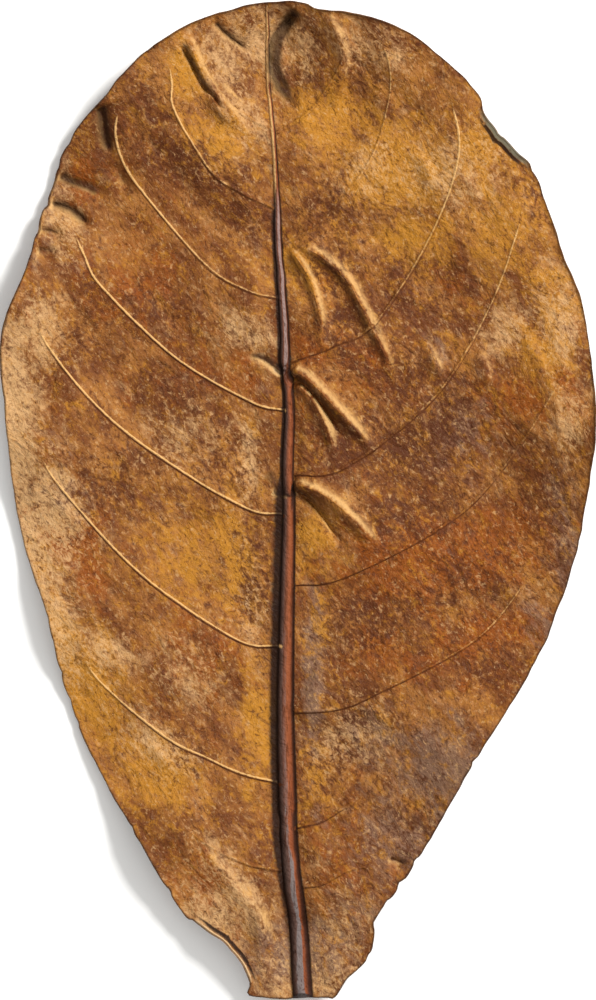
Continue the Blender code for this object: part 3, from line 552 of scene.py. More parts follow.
# Where the large lamp stands, which shines at the leaf's middle, the camera's sensor in
# millimetres, and how many rows of the picture the leaf fills
KEY_PLACE = (0.72, 0.62, 0.86)
CAMERA_SENSOR = 36.0
ROWS_FILLED = IMAGE_HEIGHT - 2


def linear(hex_colour):
    """A linear RGBA colour from an sRGB hex value."""
    parts = [int(hex_colour[place:place + 2], 16) / 255 for place in (1, 3, 5)]
    return (*[c / 12.92 if c <= 0.04045 else ((c + 0.055) / 1.055) ** 2.4 for c in parts], 1.0)


def smooth_curve(points, spacing, closed=False):
    """Points at an even spacing along a Catmull-Rom curve through the given ones."""
    points = np.array(points, float)
    if closed:
        points = np.vstack([points[-1], points, points[0], points[1]])
    else:
        points = np.vstack([2 * points[0] - points[1], points, 2 * points[-1] - points[-2]])
    share = np.linspace(0, 1, CURVE_STEPS, endpoint=False)[:, None]
    pieces = []
    for before, start, end, after in zip(points, points[1:], points[2:], points[3:]):
        pieces.append(0.5 * (
            2 * start + (end - before) * share
            + (2 * before - 5 * start + 4 * end - after) * share**2
            + (3 * start - before - 3 * end + after) * share**3
        ))
    even = evenly_spaced(np.vstack([*pieces, points[-2]]), spacing)
    return even[:-1] if closed else even


def evenly_spaced(line, spacing):
    """Points at an even spacing along a line, with its two ends among them."""
    run = np.concatenate([[0], np.cumsum(np.linalg.norm(np.diff(line, axis=0), axis=1))])
    at = np.linspace(0, run[-1], max(2, round(run[-1] / spacing)) + 1)
    return np.column_stack([np.interp(at, run, line[:, axis]) for axis in (0, 1)])


def nearest_on(line, points, closed=False):
    """(signed distance, share of the length, foot) of each point on a line, left of it positive."""
    batches = np.array_split(points, 1 + len(points) * len(line) // BATCH)
    found = [nearest_in_batch(line, batch, closed) for batch in batches]
    return [np.concatenate(column) for column in zip(*found)]


def nearest_in_batch(line, points, closed):
    """nearest_on, for as many points as fit in memory at once."""
    ends = np.roll(line, -1, axis=0) if closed else line[1:]
    starts = line if closed else line[:-1]
    along = ends - starts
    length = np.linalg.norm(along, axis=1)
    offset = points[:, None, :] - starts[None]
    part = np.clip((offset * along).sum(2) / length**2, 0, 1)
    gap = offset - part[..., None] * along
    apart = np.sqrt((gap**2).sum(2))
    best = apart.argmin(axis=1)
    row = np.arange(len(points))
    side = np.sign(along[best, 0] * offset[row, best, 1] - along[best, 1] * offset[row, best, 0])
    before = np.concatenate([[0], np.cumsum(length)])
    share = (before[best] + part[row, best] * length[best]) / before[-1]
    return apart[row, best] * side, share, points - gap[row, best]


def in_reach(points, line, reach):
    """Which points lie in a line's box, grown by a reach."""
    return np.all((points > line.min(axis=0) - reach) & (points < line.max(axis=0) + reach), axis=1)


def between(ends, share):
    """The value at a share of the way from the first of two to the second."""
    return ends[0] + (ends[1] - ends[0]) * share


def midrib_width(share):
    """Width of the midrib at shares of its length."""
    return np.interp(share, MIDRIB_AT, MIDRIB_WIDTHS)


def side_step(line, distance):
    """A line beside the given one, at a distance on its left that may differ along it."""
    along = np.gradient(line, axis=0)
    along /= np.linalg.norm(along, axis=1)[:, None]
    left = np.column_stack([-along[:, 1], along[:, 0]])
    return line + left * np.reshape(distance, (-1, 1))


def ease(value):
    """A smooth step from 0 to 1."""
    value = np.clip(value, 0, 1)
    return value * value * (3 - 2 * value)


def noise_at(points, length, level):
    """Smooth noise between about -1 and 1, with features of a given length, on its own level."""
    return np.array([noise.noise(Vector((x / length, y / length, level))) for x, y in points])


def nicked_margin():
    """The margin with its small uneven nicks and its larger bites."""
    line = smooth_curve(LEFT_MARGIN + RIGHT_MARGIN, MARGIN_SPACING, closed=True)
    depth = sum(height * noise_at(line, length, NICK_LEVEL) for height, length in NICKS)
    for x, y, half_width, bite in BITES:
        depth += bite * np.exp(-((np.linalg.norm(line - (x, y), axis=1) / half_width) ** 2))
    along = np.roll(line, -1, axis=0) - np.roll(line, 1, axis=0)
    along /= np.linalg.norm(along, axis=1)[:, None]
    return line + np.column_stack([-along[:, 1], along[:, 0]]) * depth[:, None]


def rib_relief(points):
    """How far the midrib and the side ribs stand up from the blade."""
    apart, share, _ = nearest_on(MIDRIB_LINE, points)
    inside = np.clip(1 - np.abs(2 * apart / midrib_width(share)) ** MIDRIB_ROUNDNESS, 0, 1)
    relief = between(MIDRIB_HEIGHT, share) * inside ** (1 / MIDRIB_ROUNDNESS)
    for line in SIDE_RIB_LINES:
        near = in_reach(points, line, SIDE_RIB_WIDTH[0])
        apart, share, _ = nearest_on(line, points[near])
        out = np.clip(2 * np.abs(apart) / between(SIDE_RIB_WIDTH, share), 0, 1)
        rise = between(SIDE_RIB_HEIGHT, share) * ease((1 - share) / SIDE_RIB_RUN_OUT)
        relief[near] = np.maximum(relief[near], rise * (1 - out**2))
    return relief


def fold_height(points):
    """The pleats and creases of the dried blade."""
    height = np.zeros(len(points))
    for (rise, left, right, start, _), line in zip(FOLDS + CREASES, FOLD_LINES):
        near = in_reach(points, line, FOLD_REACH * max(left, right))
        apart, share, _ = nearest_on(line, points[near])
        out = np.abs(apart) / np.where(apart > 0, left, right)
        crest = np.exp(FOLD_CREST - np.sqrt(out**2 + FOLD_CREST**2))
        height[near] += rise * crest * ease(share / start) * ease((1 - share) / FOLD_RUN_OUT)
    return height


def wave_height(points, waves):
    """The sum of plane waves at the points."""
    height = np.zeros(len(points))
    for rise, length, angle, phase in waves:
        run = points @ (math.cos(math.radians(angle)), math.sin(math.radians(angle)))
        height += rise * np.sin(2 * math.pi * run / length + phase)
    return height


def blade_height(points, inset, thickness):
    """Height of the middle of the blade above the surface it lies on."""
    swell = 1 + MARGIN_WAVE * wave_height(points, MARGIN_WAVES)
    height = MARGIN_LIFT * np.exp(-inset / MARGIN_REACH) * swell
    height += END_LIFT * (2 * points[:, 1] / LEAF_LENGTH) ** 2
    height += wave_height(points, BLADE_WAVES)
    from_midrib = nearest_on(MIDRIB_LINE, points)[0]
    height -= TROUGH_DEPTH * np.exp(-(from_midrib / TROUGH_HALF) ** 2)
    from_rib = np.min([np.abs(nearest_on(line, points)[0]) for line in SIDE_RIB_LINES], axis=0)
    height -= PANEL_DEPTH * (1 - np.exp(-(from_rib / PANEL_HALF) ** 2))
    height += fold_height(points)
    height += sum(rise * noise_at(points, length, QUILT_LEVEL) for rise, length in QUILTING)
    for rise, width, drawn, turn in WRINKLES:
        angle = math.radians(turn)
        across = points @ (math.cos(angle), math.sin(angle))
        along = points @ (-math.sin(angle), math.cos(angle)) / drawn
        height += rise * noise_at(np.column_stack([across, along]), width, WRINKLE_LEVEL)
    above = height - REST_HEIGHT
    eased = np.where(above > REST_EASING, above, (above + REST_EASING) ** 2 / (4 * REST_EASING))
    return thickness / 2 + np.where(above < -REST_EASING, 0, eased)


def roll_angle(foot):
    """How far the margin has rolled up, in radians, at each foot point on it."""
    angle = np.zeros(len(foot))
    for x, y, reach, turn in ROLLS:
        away = np.linalg.norm(foot - (x, y), axis=1)
        angle = np.maximum(angle, math.radians(turn) * np.exp(-((away / reach) ** 4)))
    return angle


def margin_normals(feet):
    """Outward directions at points of the margin."""
    along = np.roll(MARGIN_LINE, -1, axis=0) - np.roll(MARGIN_LINE, 1, axis=0)
    along /= np.linalg.norm(along, axis=1)[:, None]
    outward = np.column_stack([along[:, 1], -along[:, 0]])
    nearest = [np.linalg.norm(MARGIN_LINE - foot, axis=1).argmin() for foot in feet]
    return outward[nearest]


def rolled(points, height, inset, foot):
    """The flat points in space, with the margin turned up where it has curled."""
    outward = (foot - points) / np.maximum(inset, TINY)[:, None]
    on_margin = inset < ON_MARGIN
    outward[on_margin] = margin_normals(foot[on_margin])
    angle = np.maximum(roll_angle(foot), UNTURNED)
    radius = ROLL_DEPTH / np.sin(np.minimum(angle, math.pi / 2))
    turned = angle * np.clip(1 - inset / ROLL_DEPTH, 0, 1)
    reach = radius * np.sin(turned) - np.clip(ROLL_DEPTH - inset, 0, None)
    plan = points + outward * reach[:, None]
    return np.column_stack([plan, height + radius * (1 - np.cos(turned))])


def off_midrib(line, spacing):
    """(the stretch of a line that is clear of the midrib, the share at which it starts)."""
    apart, at, _ = nearest_on(MIDRIB_LINE, line)
    clear = np.abs(apart) > midrib_width(at) / 2 + RIB_GAP
    return evenly_spaced(line[clear], spacing), np.argmax(clear) / (len(line) - 1)


def guide_lines():
    """Lines that the mesh follows: rows along the midrib and the side ribs, and the folds."""
    spine = smooth_curve(MIDRIB, RIB_SPACING)
    half = midrib_width(np.linspace(0, 1, len(spine))) / 2
    lines = [side_step(spine, row * half) for row in MIDRIB_ROWS]
    for whole in SIDE_RIB_LINES:
        rib, first = off_midrib(whole, RIB_SPACING)
        half = between(SIDE_RIB_WIDTH, np.linspace(first, 1, len(rib))) / 2
        lines += [side_step(rib, row * half) for row in SIDE_RIB_ROWS]
    for whole in FOLD_LINES:
        lines.append(off_midrib(inside_margin(whole, FOLD_INSET), FOLD_SPACING)[0])
    return [line for line in lines if len(line) > 1]


def bank_points():
    """Loose points in rows along the midrib, the side ribs and the margin, for their marks."""
    spine = smooth_curve(MIDRIB, RIB_SPACING)
    half = midrib_width(np.linspace(0, 1, len(spine))) / 2
    rows = [side_step(spine, row * half) for row in MIDRIB_BANKS]
    for whole in SIDE_RIB_LINES:
        rib, _ = off_midrib(whole, RIB_SPACING)
        rows += [side_step(rib, row) for row in SIDE_RIB_BANKS]
    inner = inside_margin(np.vstack(rows), POINT_GAP)
    rim = [inside_margin(side_step(MARGIN_LINE, row), row / 2) for row in MARGIN_BANKS]
    return np.vstack([inner, *rim])


def lattice(spacing):
    """A triangular lattice of points over the blade's box."""
    rows = []
    for number, y in enumerate(np.arange(-LEAF_LENGTH / 2, LEAF_LENGTH / 2, spacing * math.sqrt(3) / 2)):
        x = np.arange(-LEAF_WIDTH / 2, LEAF_WIDTH / 2, spacing) + (number % 2) * spacing / 2
        rows.append(np.column_stack([x, np.full(len(x), y)]))
    return np.vstack(rows)


def inside_margin(points, inset):
    """Those of the points that lie within the margin by at least an inset."""
    return points[nearest_on(MARGIN_LINE, points, closed=True)[0] > inset]


def near_folds(points):
    """Which points lie on the flank of a fold."""
    near = np.zeros(len(points), bool)
    for (_, left, right, _, _), line in zip(FOLDS + CREASES, FOLD_LINES):
        reach = FINE_REACH * max(left, right)
        boxed = np.flatnonzero(in_reach(points, line, reach))
        near[boxed[np.abs(nearest_on(line, points[boxed])[0]) < reach]] = True
    return near


def clear_of(points, others, gap):
    """Those of the points that are at least a gap from all the others."""
    tree = KDTree(len(others))
    for number, (x, y) in enumerate(others):
        tree.insert((x, y, 0), number)
    tree.balance()
    return points[[tree.find((x, y, 0))[2] > gap for x, y in points]]


def flat_blade():
    """(points, triangles) of the blade laid out flat."""
    lines = guide_lines()
    on_lines = np.vstack([MARGIN_LINE, *lines])
    turned = roll_angle(MARGIN_LINE) > LEAST_ROLL
    rolls = np.vstack([side_step(MARGIN_LINE, row)[turned] for row in ROLL_ROWS])
    rolls = clear_of(inside_margin(rolls, ROLL_ROWS[0] / 2), on_lines, ROLL_ROWS[0] / 2)
    banks = clear_of(bank_points(), np.vstack([on_lines, rolls]), BANK_GAP)
    placed = np.vstack([on_lines, rolls, banks])
    fine = lattice(FINE_SPACING)
    fine = clear_of(inside_margin(fine[near_folds(fine)], POINT_GAP), placed, POINT_GAP)
    coarse = lattice(FIELD_SPACING)
    coarse = clear_of(inside_margin(coarse[~near_folds(coarse)], POINT_GAP), placed, POINT_GAP)
    count = len(MARGIN_LINE)
    edges = [(i, (i + 1) % count) for i in range(count)]
    for line in lines:
        edges += [(count + i, count + i + 1) for i in range(len(line) - 1)]
        count += len(line)
    points = np.vstack([placed, fine, coarse])
    found = delaunay_2d_cdt([tuple(p) for p in points], edges, [], KEEP_INSIDE, WELD)
    flat = np.array([tuple(p) for p in found[0]])
    triangles = np.array(found[2])
    corner = flat[triangles]
    turn = np.cross(corner[:, 1] - corner[:, 0], corner[:, 2] - corner[:, 0])
    triangles[turn < 0] = triangles[turn < 0][:, ::-1]
    return flat, triangles


def open_edges(triangles):
    """The edges that belong to one triangle only, in that triangle's direction."""
    ends = np.vstack([triangles[:, [0, 1]], triangles[:, [1, 2]], triangles[:, [2, 0]]])
    _, index, count = np.unique(np.sort(ends, axis=1), axis=0, return_inverse=True, return_counts=True)
    return ends[count[index.reshape(-1)] == 1]


def vertex_normals(points, triangles):
    """Unit normals at the points, averaged from the triangles round each."""
    corner = points[triangles]
    face = np.cross(corner[:, 1] - corner[:, 0], corner[:, 2] - corner[:, 0])
    normal = np.zeros_like(points)
    for place in range(3):
        np.add.at(normal, triangles[:, place], face)
    return normal / np.linalg.norm(normal, axis=1)[:, None]


def leaf_shell(settings):
    """The leaf's skin: (flat points of one layer, the one that each point lies over, points,
    triangles, how many of those are on the ribbed side)."""
    flat, triangles = flat_blade()
    apart, _, foot = nearest_on(MARGIN_LINE, flat, closed=True)
    inset = np.abs(apart)
    full = settings.blade_thickness / MM
    thin = settings.margin_thickness / MM
    thickness = between((thin, full), ease(inset / settings.thinning_width * MM))
    middle = rolled(flat, blade_height(flat, inset, thickness), inset, foot)
    normal = vertex_normals(middle, triangles)
    upper = middle + normal * (thickness / 2 + rib_relief(flat))[:, None]
    lower = middle - normal * (thickness / 2)[:, None]
    count = len(flat)
    start, end = open_edges(triangles).T
    rim = np.unique(start)
    place = np.zeros(count, int)
    place[rim] = np.arange(len(rim)) + 2 * count
    outward = np.column_stack([margin_normals(foot[rim]), np.zeros(len(rim))])
    edge = middle[rim] + outward * settings.margin_thickness / MM * RIM_BULGE
    wall = np.vstack([
        np.column_stack([end, start, place[start]]),
        np.column_stack([end, place[start], place[end]]),
        np.column_stack([place[end], place[start], start + count]),
        np.column_stack([place[end], start + count, end + count]),
    ])
    points = np.vstack([upper, lower, edge])
    low, high = points.min(axis=0), points.max(axis=0)
    points -= ((low[0] + high[0]) / 2, (low[1] + high[1]) / 2, low[2])
    layers = np.concatenate([np.arange(count), np.arange(count), rim])
    all_triangles = np.vstack([triangles, wall, triangles[:, ::-1] + count])
    return flat, layers, points, all_triangles, len(triangles) + len(wall) // 2


def stain_strength(points, patches):
    """How strongly a stain shows at the points, from its soft patches."""
    total = np.zeros(len(points))
    for x, y, half_width, half_height, turn, strength in patches:
        angle = math.radians(turn)
        offset = points - (x, y)
        across = (offset @ (math.cos(angle), math.sin(angle))) / half_width
        along = (offset @ (-math.sin(angle), math.cos(angle))) / half_height
        total = np.maximum(total, strength * np.exp(-(across**2 + along**2)))
    return total


def rib_marks(points):
    """(painted highlight on the side ribs' crests, painted shade along their lower side, where their vein
    runs) at the points."""
    pale, dark, vein = np.zeros((3, len(points)))
    for (pale_start, pale_end, dark_start, dark_end, _), line in zip(SIDE_RIBS, SIDE_RIB_LINES):
        near = in_reach(points, line, SIDE_RIB_WIDTH[0])
        apart, share, _ = nearest_on(line, points[near])
        tipward = apart if line[-1, 0] > line[0, 0] else -apart
        run_out = ease((1 - share) / SIDE_RIB_RUN_OUT)
        crest = run_out * ease(1 - np.abs(tipward - CREST_PLACE) / CREST_REACH)
        foot = run_out * ease(1 - np.abs(tipward - FOOT_PLACE) / FOOT_REACH)
        pale[near] = np.maximum(pale[near], between((pale_start, pale_end), share) * crest)
        dark[near] = np.maximum(dark[near], between((dark_start, dark_end), share) * foot)
        vein[near] = np.maximum(vein[near], crest)
    return pale, dark, vein


def midrib_marks(points):
    """(how far across the midrib, painted shade in the ditches beside it and in its cuts, greyness of its
    back at the base and at the tip, paleness of its left side)."""
    apart, share, _ = nearest_on(MIDRIB_LINE, points)
    across = -2 * apart / midrib_width(share)
    beside = np.abs(apart) - midrib_width(share) / 2
    width = np.interp(share, ALONG, DITCH_WIDTH)
    # Painted shadow beside the midrib on its left, and painted shade in the crease on its right
    left = np.interp(share, ALONG, LEFT_DITCH) * ease(LEFT_DITCH_REACH - beside / width)
    right = np.interp(share, ALONG, RIGHT_DITCH) * ease(1 - beside / RIGHT_DITCH_REACH)
    ditch = np.maximum(left * (across < -DITCH_START), right * (across > DITCH_START))
    # Painted shade in the cracks where the midrib has snapped
    for x, y, half_height in CUTS:
        cut = np.exp(-(((points[:, 1] - y) / half_height) ** 2))
        inside = (np.abs(across) < CUT_ACROSS) & (np.abs(points[:, 0] - x) < CUT_SIDE)
        ditch = np.maximum(ditch, cut * inside)
    place = np.interp(share, ALONG, GREY_PLACE)
    reach = np.interp(share, ALONG, GREY_REACH)
    grey = np.interp(share, ALONG, GREY_BACK) * ease(2 - 2 * np.abs(across - place) / reach)
    pale = np.interp(share, ALONG, PALE_SIDE) * ease(PALE_SIDE_FADE - across)
    pale *= across < PALE_SIDE_END
    return across, ditch, grey * (share < GREY_PARTING), grey * (share > GREY_PARTING), pale


def lip_marks(points, inset):
    """(where the curled lip is its own grey, above nought, or carries a painted highlight, below it, and the
    painted shadow in its crease).
    """
    shades = np.zeros(len(points))
    crease = np.zeros(len(points))
    for x, y, reach, shade, width in LIPS:
        near = np.exp(-((np.linalg.norm(points - (x, y), axis=1) / reach) ** 4))
        shades += shade * near * ease((width - inset) / LIP_EASING)
        crease += near * ease(1 - np.abs(inset - width - LIP_CREASE / 2) / LIP_CREASE)
    return shades, crease


def write_marks(mesh, flat, layers):
    """Stores where the ribs, folds and stains are, and where highlights and shade are painted, for the
    materials to read on every layer.
    """
    across, ditch, grey_base, grey_tip, pale_side = midrib_marks(flat)
    pale, dark, vein = rib_marks(flat)
    step = np.array(LIT_FLANK_FACING) * FLANK_STEP
    inset = np.abs(nearest_on(MARGIN_LINE, flat, closed=True)[0])
    lip, lip_crease = lip_marks(flat, inset)
    marks = {
        "midrib_across": across,
        "grey_base": grey_base,
        "grey_tip": grey_tip,
        "ditch": ditch,
        "crest": pale,
        "foot": dark,
        "fold": fold_height(flat),
        # Tilt towards the light: painted highlight where it is above nought, painted shade where it is below
        "flank": fold_height(flat - step) - fold_height(flat + step),
        # Painted shade along the rim of the margin
        "margin": np.exp(-inset / RIM_REACH),
        "lip": lip,
        "lip_crease": lip_crease,
        "pale_side": pale_side,
        "vein": np.maximum(vein, ease((VEIN_END - np.abs(across)) / VEIN_EASING)),
    }
    for name, patches in STAINS.items():
        marks[name] = stain_strength(flat, patches)
    for name, values in marks.items():
        values = values[layers].astype(np.float32)
        mesh.attributes.new(name, "FLOAT", "POINT").data.foreach_set("value", values)


def add_node(tree, kind, links=None, values=None, **settings):
    """Adds a shader node with its settings, its socket values and links to its sockets.

    A socket is given by its name or its place. In a Mix node for colours, 0 is the share, 6 and 7
    are the two colours, and output 2 is the mixed one.
    """
    node = tree.nodes.new(kind)
    for name, value in settings.items():
        setattr(node, name, value)
    for socket, value in (values or {}).items():
        node.inputs[socket].default_value = value
    for socket, source in (links or {}).items():
        tree.links.new(source, node.inputs[socket])
    return node


def new_material(name, ior, shine):
    """A material with its shader's plain values set, its node tree and its shader."""
    material = bpy.data.materials.new(name)
    material.use_nodes = True
    shader = material.node_tree.nodes["Principled BSDF"]
    shader.inputs["IOR"].default_value = ior
    shader.inputs["Specular IOR Level"].default_value = shine
    return material, material.node_tree, shader


def skin_patterns(tree):
    """The value of each pattern of the skin, by name."""
    place = add_node(tree, "ShaderNodeTexCoord").outputs["Object"]
    patterns = {}
    for level, (name, (size, octaves, roughness, drawn, turn)) in enumerate(PATTERNS.items()):
        laid = add_node(
            tree, "ShaderNodeMapping", {"Vector": place},
            {"Rotation": (0.0, 0.0, math.radians(turn)), "Scale": (1.0, drawn, 1.0)},
            vector_type="TEXTURE",
        )
        values = {
            "W": level, "Scale": 1 / (size * MM), "Detail": octaves, "Roughness": roughness,
            "Distortion": WISPS,
        }
        patterns[name] = add_node(
            tree, "ShaderNodeTexNoise", {"Vector": laid.outputs[0]}, values, noise_dimensions="4D",
        ).outputs["Fac"]
    return patterns


def coated(tree, colour, patterns, coats, colours):
    """A colour under the coats, each of which follows a mark on the leaf, broken up by a pattern."""
    for name, pattern, mark, weight, start, full, cover in coats:
        place = add_node(tree, "ShaderNodeAttribute", attribute_name=mark)
        both = add_node(
            tree, "ShaderNodeMath", {0: place.outputs["Fac"], 2: patterns[pattern]}, {1: weight},
            operation="MULTIPLY_ADD",
        )
        share = add_node(
            tree, "ShaderNodeMapRange", {"Value": both.outputs[0]},
            {"From Min": start, "From Max": full, "To Max": cover}, interpolation_type="SMOOTHSTEP",
        )
        colour = add_node(
            tree, "ShaderNodeMix", {0: share.outputs[0], 6: colour}, {7: colours[name]},
            data_type="RGBA",
        ).outputs[2]
    return colour


def midrib_over(tree, colour, patterns, colours):
    """A colour with the midrib's painted over it: red-brown, and grey at the base and the tip."""
    across = add_node(tree, "ShaderNodeAttribute", attribute_name="midrib_across").outputs["Fac"]
    place = add_node(tree, "ShaderNodeMath", {0: across}, {1: 0.5, 2: 0.5}, operation="MULTIPLY_ADD")
    tones = add_node(tree, "ShaderNodeValToRGB", {0: place.outputs[0]})
    elements = tones.color_ramp.elements
    while len(elements) < len(MIDRIB_TONES):
        elements.new(0.5)
    for element, (at, tone) in zip(elements, MIDRIB_TONES):
        element.position = at / 2 + 0.5
        element.color = linear(tone)
    midrib = coated(tree, tones.outputs[0], patterns, MIDRIB_COATS, colours)
    edge = add_node(tree, "ShaderNodeMath", {0: across}, operation="ABSOLUTE")
    inside = add_node(
        tree, "ShaderNodeMapRange", {"Value": edge.outputs[0]},
        {"From Min": MIDRIB_EDGE[0], "From Max": MIDRIB_EDGE[1]},
    )
    return add_node(
        tree, "ShaderNodeMix", {0: inside.outputs[0], 6: colour, 7: midrib}, data_type="RGBA",
    ).outputs[2]


def skin_relief(tree, patterns, depth):
    """Fine relief: the net of the smallest veins, wrinkles between them and the grain of the skin."""
    place = add_node(tree, "ShaderNodeTexCoord").outputs["Object"]
    moved = add_node(
        tree, "ShaderNodeVectorMath", {0: patterns["blotch"], 2: place}, {1: (NET_WARP,) * 3},
        operation="MULTIPLY_ADD",
    )
    net = add_node(
        tree, "ShaderNodeTexVoronoi", {"Vector": moved.outputs[0]}, {"Scale": 1 / (NET_SIZE * MM)},
        feature="DISTANCE_TO_EDGE",
    )
    height = add_node(
        tree, "ShaderNodeMapRange", {"Value": net.outputs["Distance"]},
        {"From Min": NET_LINE, "From Max": 0.0, "To Max": NET_RISE}, interpolation_type="SMOOTHSTEP",
    ).outputs[0]
    heights = {name: patterns[name] for name in RELIEF}
    for name in CREASED:
        from_line = add_node(
            tree, "ShaderNodeMath", {0: patterns[name]}, {1: NOISE_MIDDLE}, operation="SUBTRACT")
        heights[name] = add_node(
            tree, "ShaderNodeMath", {0: from_line.outputs[0]}, operation="ABSOLUTE").outputs[0]
    for name, rise in RELIEF.items():
        height = add_node(
            tree, "ShaderNodeMath", {0: heights[name], 2: height}, {1: rise}, operation="MULTIPLY_ADD",
        ).outputs[0]
    bump = add_node(tree, "ShaderNodeBump", {"Height": height}, {"Distance": depth * MM})
    return bump.outputs[0]


def dry_skin(settings, name, shine, roughness, relief, ground):
    """(material, shader, patterns, colours, plain ground colour) of a side of the leaf, with its
    shine, a roughness that wanders between two values with the blotches, and its relief."""
    material, tree, shader = new_material(name, LEAF_IOR, shine)
    patterns = skin_patterns(tree)
    dull = add_node(tree, "ShaderNodeMapRange", {"Value": patterns["blotch"]}, {
        "From Min": BLOTCH_RANGE[0], "From Max": BLOTCH_RANGE[1],
        "To Min": roughness[0], "To Max": roughness[1],
    })
    tree.links.new(dull.outputs[0], shader.inputs["Roughness"])
    tree.links.new(skin_relief(tree, patterns, relief), shader.inputs["Normal"])
    colours = {key: tuple(getattr(settings, key)) for key in COLOURS}
    plain = add_node(tree, "ShaderNodeRGB").outputs[0]
    plain.default_value = colours[ground]
    return material, shader, patterns, colours, plain


def ribbed_skin(settings):
    """Dried underside of a leaf: corky, mottled and matt, so the ribs and folds stand out by light, with
    painted highlights and shade on them besides.
    """
    material, shader, patterns, colours, plain = dry_skin(
        settings, "dry_ribbed_leaf_skin", CORKY_SHINE, CORKY_ROUGHNESS, CORKY_RELIEF, "brown")
    tree = material.node_tree
    colour = coated(tree, plain, patterns, SKIN_COATS, colours)
    colour = midrib_over(tree, colour, patterns, colours)
    # Painted highlights and shade that follow the ribs, folds, ditches, lip and rim
    colour = coated(tree, colour, patterns, RELIEF_COATS, colours)
    tree.links.new(colour, shader.inputs["Base Color"])
    return material


def smooth_skin(settings):
    """Dried upper side of a leaf: darker and a little waxy, with the ribs as pale lines."""
    material, shader, patterns, colours, plain = dry_skin(
        settings, "dry_smooth_leaf_skin", WAXY_SHINE, WAXY_ROUGHNESS, WAXY_RELIEF, "umber")
    colour = coated(material.node_tree, plain, patterns, SMOOTH_COATS, colours)
    material.node_tree.links.new(colour, shader.inputs["Base Color"])
    return material


def floor_paper(settings):
    """Backdrop paper: near white and quite matt, with a faint mottle of its pulp."""
    material, tree, shader = new_material("backdrop_paper", PAPER_IOR, PAPER_SHINE)
    shader.inputs["Roughness"].default_value = PAPER_ROUGHNESS
    place = add_node(tree, "ShaderNodeTexCoord").outputs["Object"]
    pulp = add_node(tree, "ShaderNodeTexNoise", {"Vector": place}, {"Scale": 1 / (PULP_SIZE * MM)})
    pale = tuple(settings.floor_colour)
    dim = (*[part * PULP_SHADE for part in pale[:3]], 1.0)
    colour = add_node(
        tree, "ShaderNodeMix", {0: pulp.outputs["Fac"]}, {6: dim, 7: pale}, data_type="RGBA",
    )
    tree.links.new(colour.outputs[2], shader.inputs["Base Color"])
    return material


MARGIN_LINE = nicked_margin()
MIDRIB_LINE = smooth_curve(MIDRIB, MIDRIB_STEP)
SIDE_RIB_LINES = [smooth_curve(rib[4], FINE_STEP) for rib in SIDE_RIBS]
FOLD_LINES = [smooth_curve(fold[4], FINE_STEP) for fold in FOLDS + CREASES]


def colour_property(name, description, hex_colour):
    """A colour that the user may change."""
    return bpy.props.FloatVectorProperty(
        name=name, description=description, default=linear(hex_colour), size=4, subtype="COLOR",
        min=0.0, max=1.0,
    )


def length_property(name, description, default):
    """A length that the user may change, with its default in metres."""
    return bpy.props.FloatProperty(
        name=name, description=description, default=default, min=0.0, unit="LENGTH", precision=5,
    )


class LeafSettings(bpy.types.PropertyGroup):
    """Sizes and colours of the leaf."""
    blade_thickness: length_property("Blade thickness", "Thickness of the open blade", 0.00065)
    margin_thickness: length_property("Margin thickness", "Thickness at the very margin", 0.0004)
    thinning_width: length_property("Thinning width", "Width over which the blade thins", 0.006)
    __annotations__.update({key: colour_property(*value) for key, value in COLOURS.items()})


class StageSettings(bpy.types.PropertyGroup):
    """The floor, the light and the camera."""
    floor_size: length_property("Floor size", "Side of the square floor", 3.0)
    floor_colour: colour_property("Floor", "Colour of the backdrop paper", "#F6F5F2")
    key_power: bpy.props.FloatProperty(
        name="Key light", description="Power of the large light", default=23.0, min=0.0, unit="POWER")
    key_size: length_property("Key light size", "Side of the square key light", 0.32)
    fill: bpy.props.FloatProperty(
        name="Fill", description="Strength of the light from all round", default=0.78, min=0.0)
    camera_height: length_property("Camera height", "How far the camera stands above the floor", 1.5)


class LEAF_OT_make_leaf(bpy.types.Operator):
    """Models the leaf, marks and paints it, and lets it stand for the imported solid"""
    bl_idname = "leaf.make_leaf"
    bl_label = "Make leaf"

    def execute(self, context):
        settings = context.scene.leaf_settings
        flat, layers, points, triangles, ribbed_count = leaf_shell(settings)
        mesh = bpy.data.meshes.new("dry_leaf")
        mesh.from_pydata((points * MM).tolist(), [], triangles.tolist())
        if mesh.validate():
            raise RuntimeError("the leaf's mesh has faults")
        write_marks(mesh, flat, layers)
        mesh.materials.append(ribbed_skin(settings))
        mesh.materials.append(smooth_skin(settings))
        side = (np.arange(len(triangles)) >= ribbed_count).astype(np.int32)
        mesh.polygons.foreach_set("material_index", side)
        leaf = bpy.data.objects.new("dry_leaf", mesh)
        context.scene.collection.objects.link(leaf)
        bpy.ops.object.select_all(action="DESELECT")
        context.view_layer.objects.active = leaf
        leaf.select_set(True)
        bpy.ops.object.shade_smooth_by_angle(angle=SHARP_EDGE)
        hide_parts("leaf")
        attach(leaf, "root")
        return {"FINISHED"}


class LEAF_OT_make_stage(bpy.types.Operator):
    """Lays the pale floor and sets the light and the camera"""
    bl_idname = "leaf.make_stage"
    bl_label = "Make stage"

    def execute(self, context):
        settings = context.scene.stage_settings
        scene = context.scene
        bpy.ops.object.select_all(action="DESELECT")
        bpy.ops.mesh.primitive_plane_add(size=settings.floor_size)
        floor = context.active_object
        floor.name = "floor"
        floor.data.materials.append(floor_paper(settings))
        set_lights(scene, settings)
        set_camera(scene, settings)
        scene.view_settings.view_transform = "Standard"
        return {"FINISHED"}


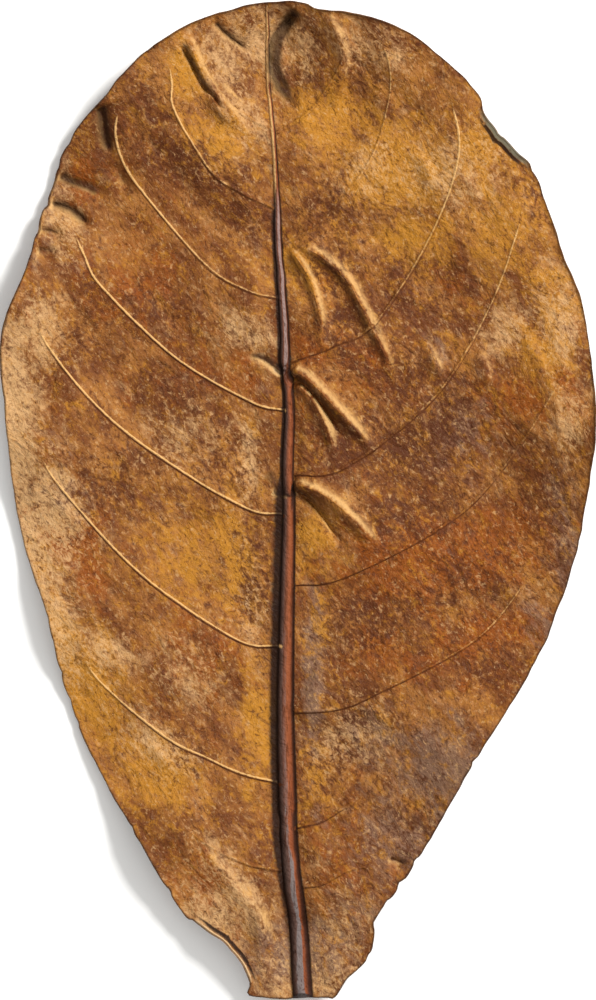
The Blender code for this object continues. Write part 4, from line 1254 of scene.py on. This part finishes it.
def set_lights(scene, settings):
    """One large light from the upper right of the picture, and a pale room all round."""
    lamp = bpy.data.lights.new("key", "AREA")
    lamp.energy = settings.key_power
    lamp.size = settings.key_size
    key = bpy.data.objects.new("key", lamp)
    key.location = KEY_PLACE
    key.rotation_euler = Vector(KEY_PLACE).to_track_quat("Z", "Y").to_euler()
    scene.collection.objects.link(key)
    world = bpy.data.worlds.new("room")
    world.use_nodes = True
    world.node_tree.nodes["Background"].inputs["Strength"].default_value = settings.fill
    world.node_tree.nodes["Background"].inputs["Color"].default_value = linear("#FFFFFF")
    scene.world = world


def set_camera(scene, settings):
    """Straight above the leaf, which fills the picture from top to bottom."""
    low, high = CAD_BOX
    seen = (high[1] - low[1]) * IMAGE_HEIGHT / ROWS_FILLED
    middle = (low[2] + high[2]) / 2
    view = bpy.data.cameras.new("view")
    view.sensor_width = CAMERA_SENSOR
    view.lens = CAMERA_SENSOR * (settings.camera_height - middle) / seen
    camera = bpy.data.objects.new("view", view)
    camera.location = (0.0, 0.0, settings.camera_height)
    scene.collection.objects.link(camera)
    scene.camera = camera


class LEAF_PT_panel(bpy.types.Panel):
    """Lists the leaf's and the stage's settings and their operators"""
    bl_label = "Leaf"
    bl_idname = "LEAF_PT_panel"
    bl_space_type = "VIEW_3D"
    bl_region_type = "UI"
    bl_category = "Leaf"

    def draw(self, context):
        for settings, operator in (
            (context.scene.leaf_settings, LEAF_OT_make_leaf),
            (context.scene.stage_settings, LEAF_OT_make_stage),
        ):
            box = self.layout.box()
            for name in settings.__annotations__:
                box.prop(settings, name)
            box.operator(operator.bl_idname)


CLASSES = (LeafSettings, StageSettings, LEAF_OT_make_leaf, LEAF_OT_make_stage, LEAF_PT_panel)


def register():
    """Adds the classes and the scene's settings."""
    for cls in CLASSES:
        bpy.utils.register_class(cls)
    bpy.types.Scene.leaf_settings = bpy.props.PointerProperty(type=LeafSettings)
    bpy.types.Scene.stage_settings = bpy.props.PointerProperty(type=StageSettings)


def unregister():
    """Removes them again."""
    del bpy.types.Scene.stage_settings
    del bpy.types.Scene.leaf_settings
    for cls in reversed(CLASSES):
        bpy.utils.unregister_class(cls)


def main():
    """Makes the leaf and the stage."""
    register()
    bpy.ops.leaf.make_stage()
    bpy.ops.leaf.make_leaf()


if __name__ == "__main__":
    main()
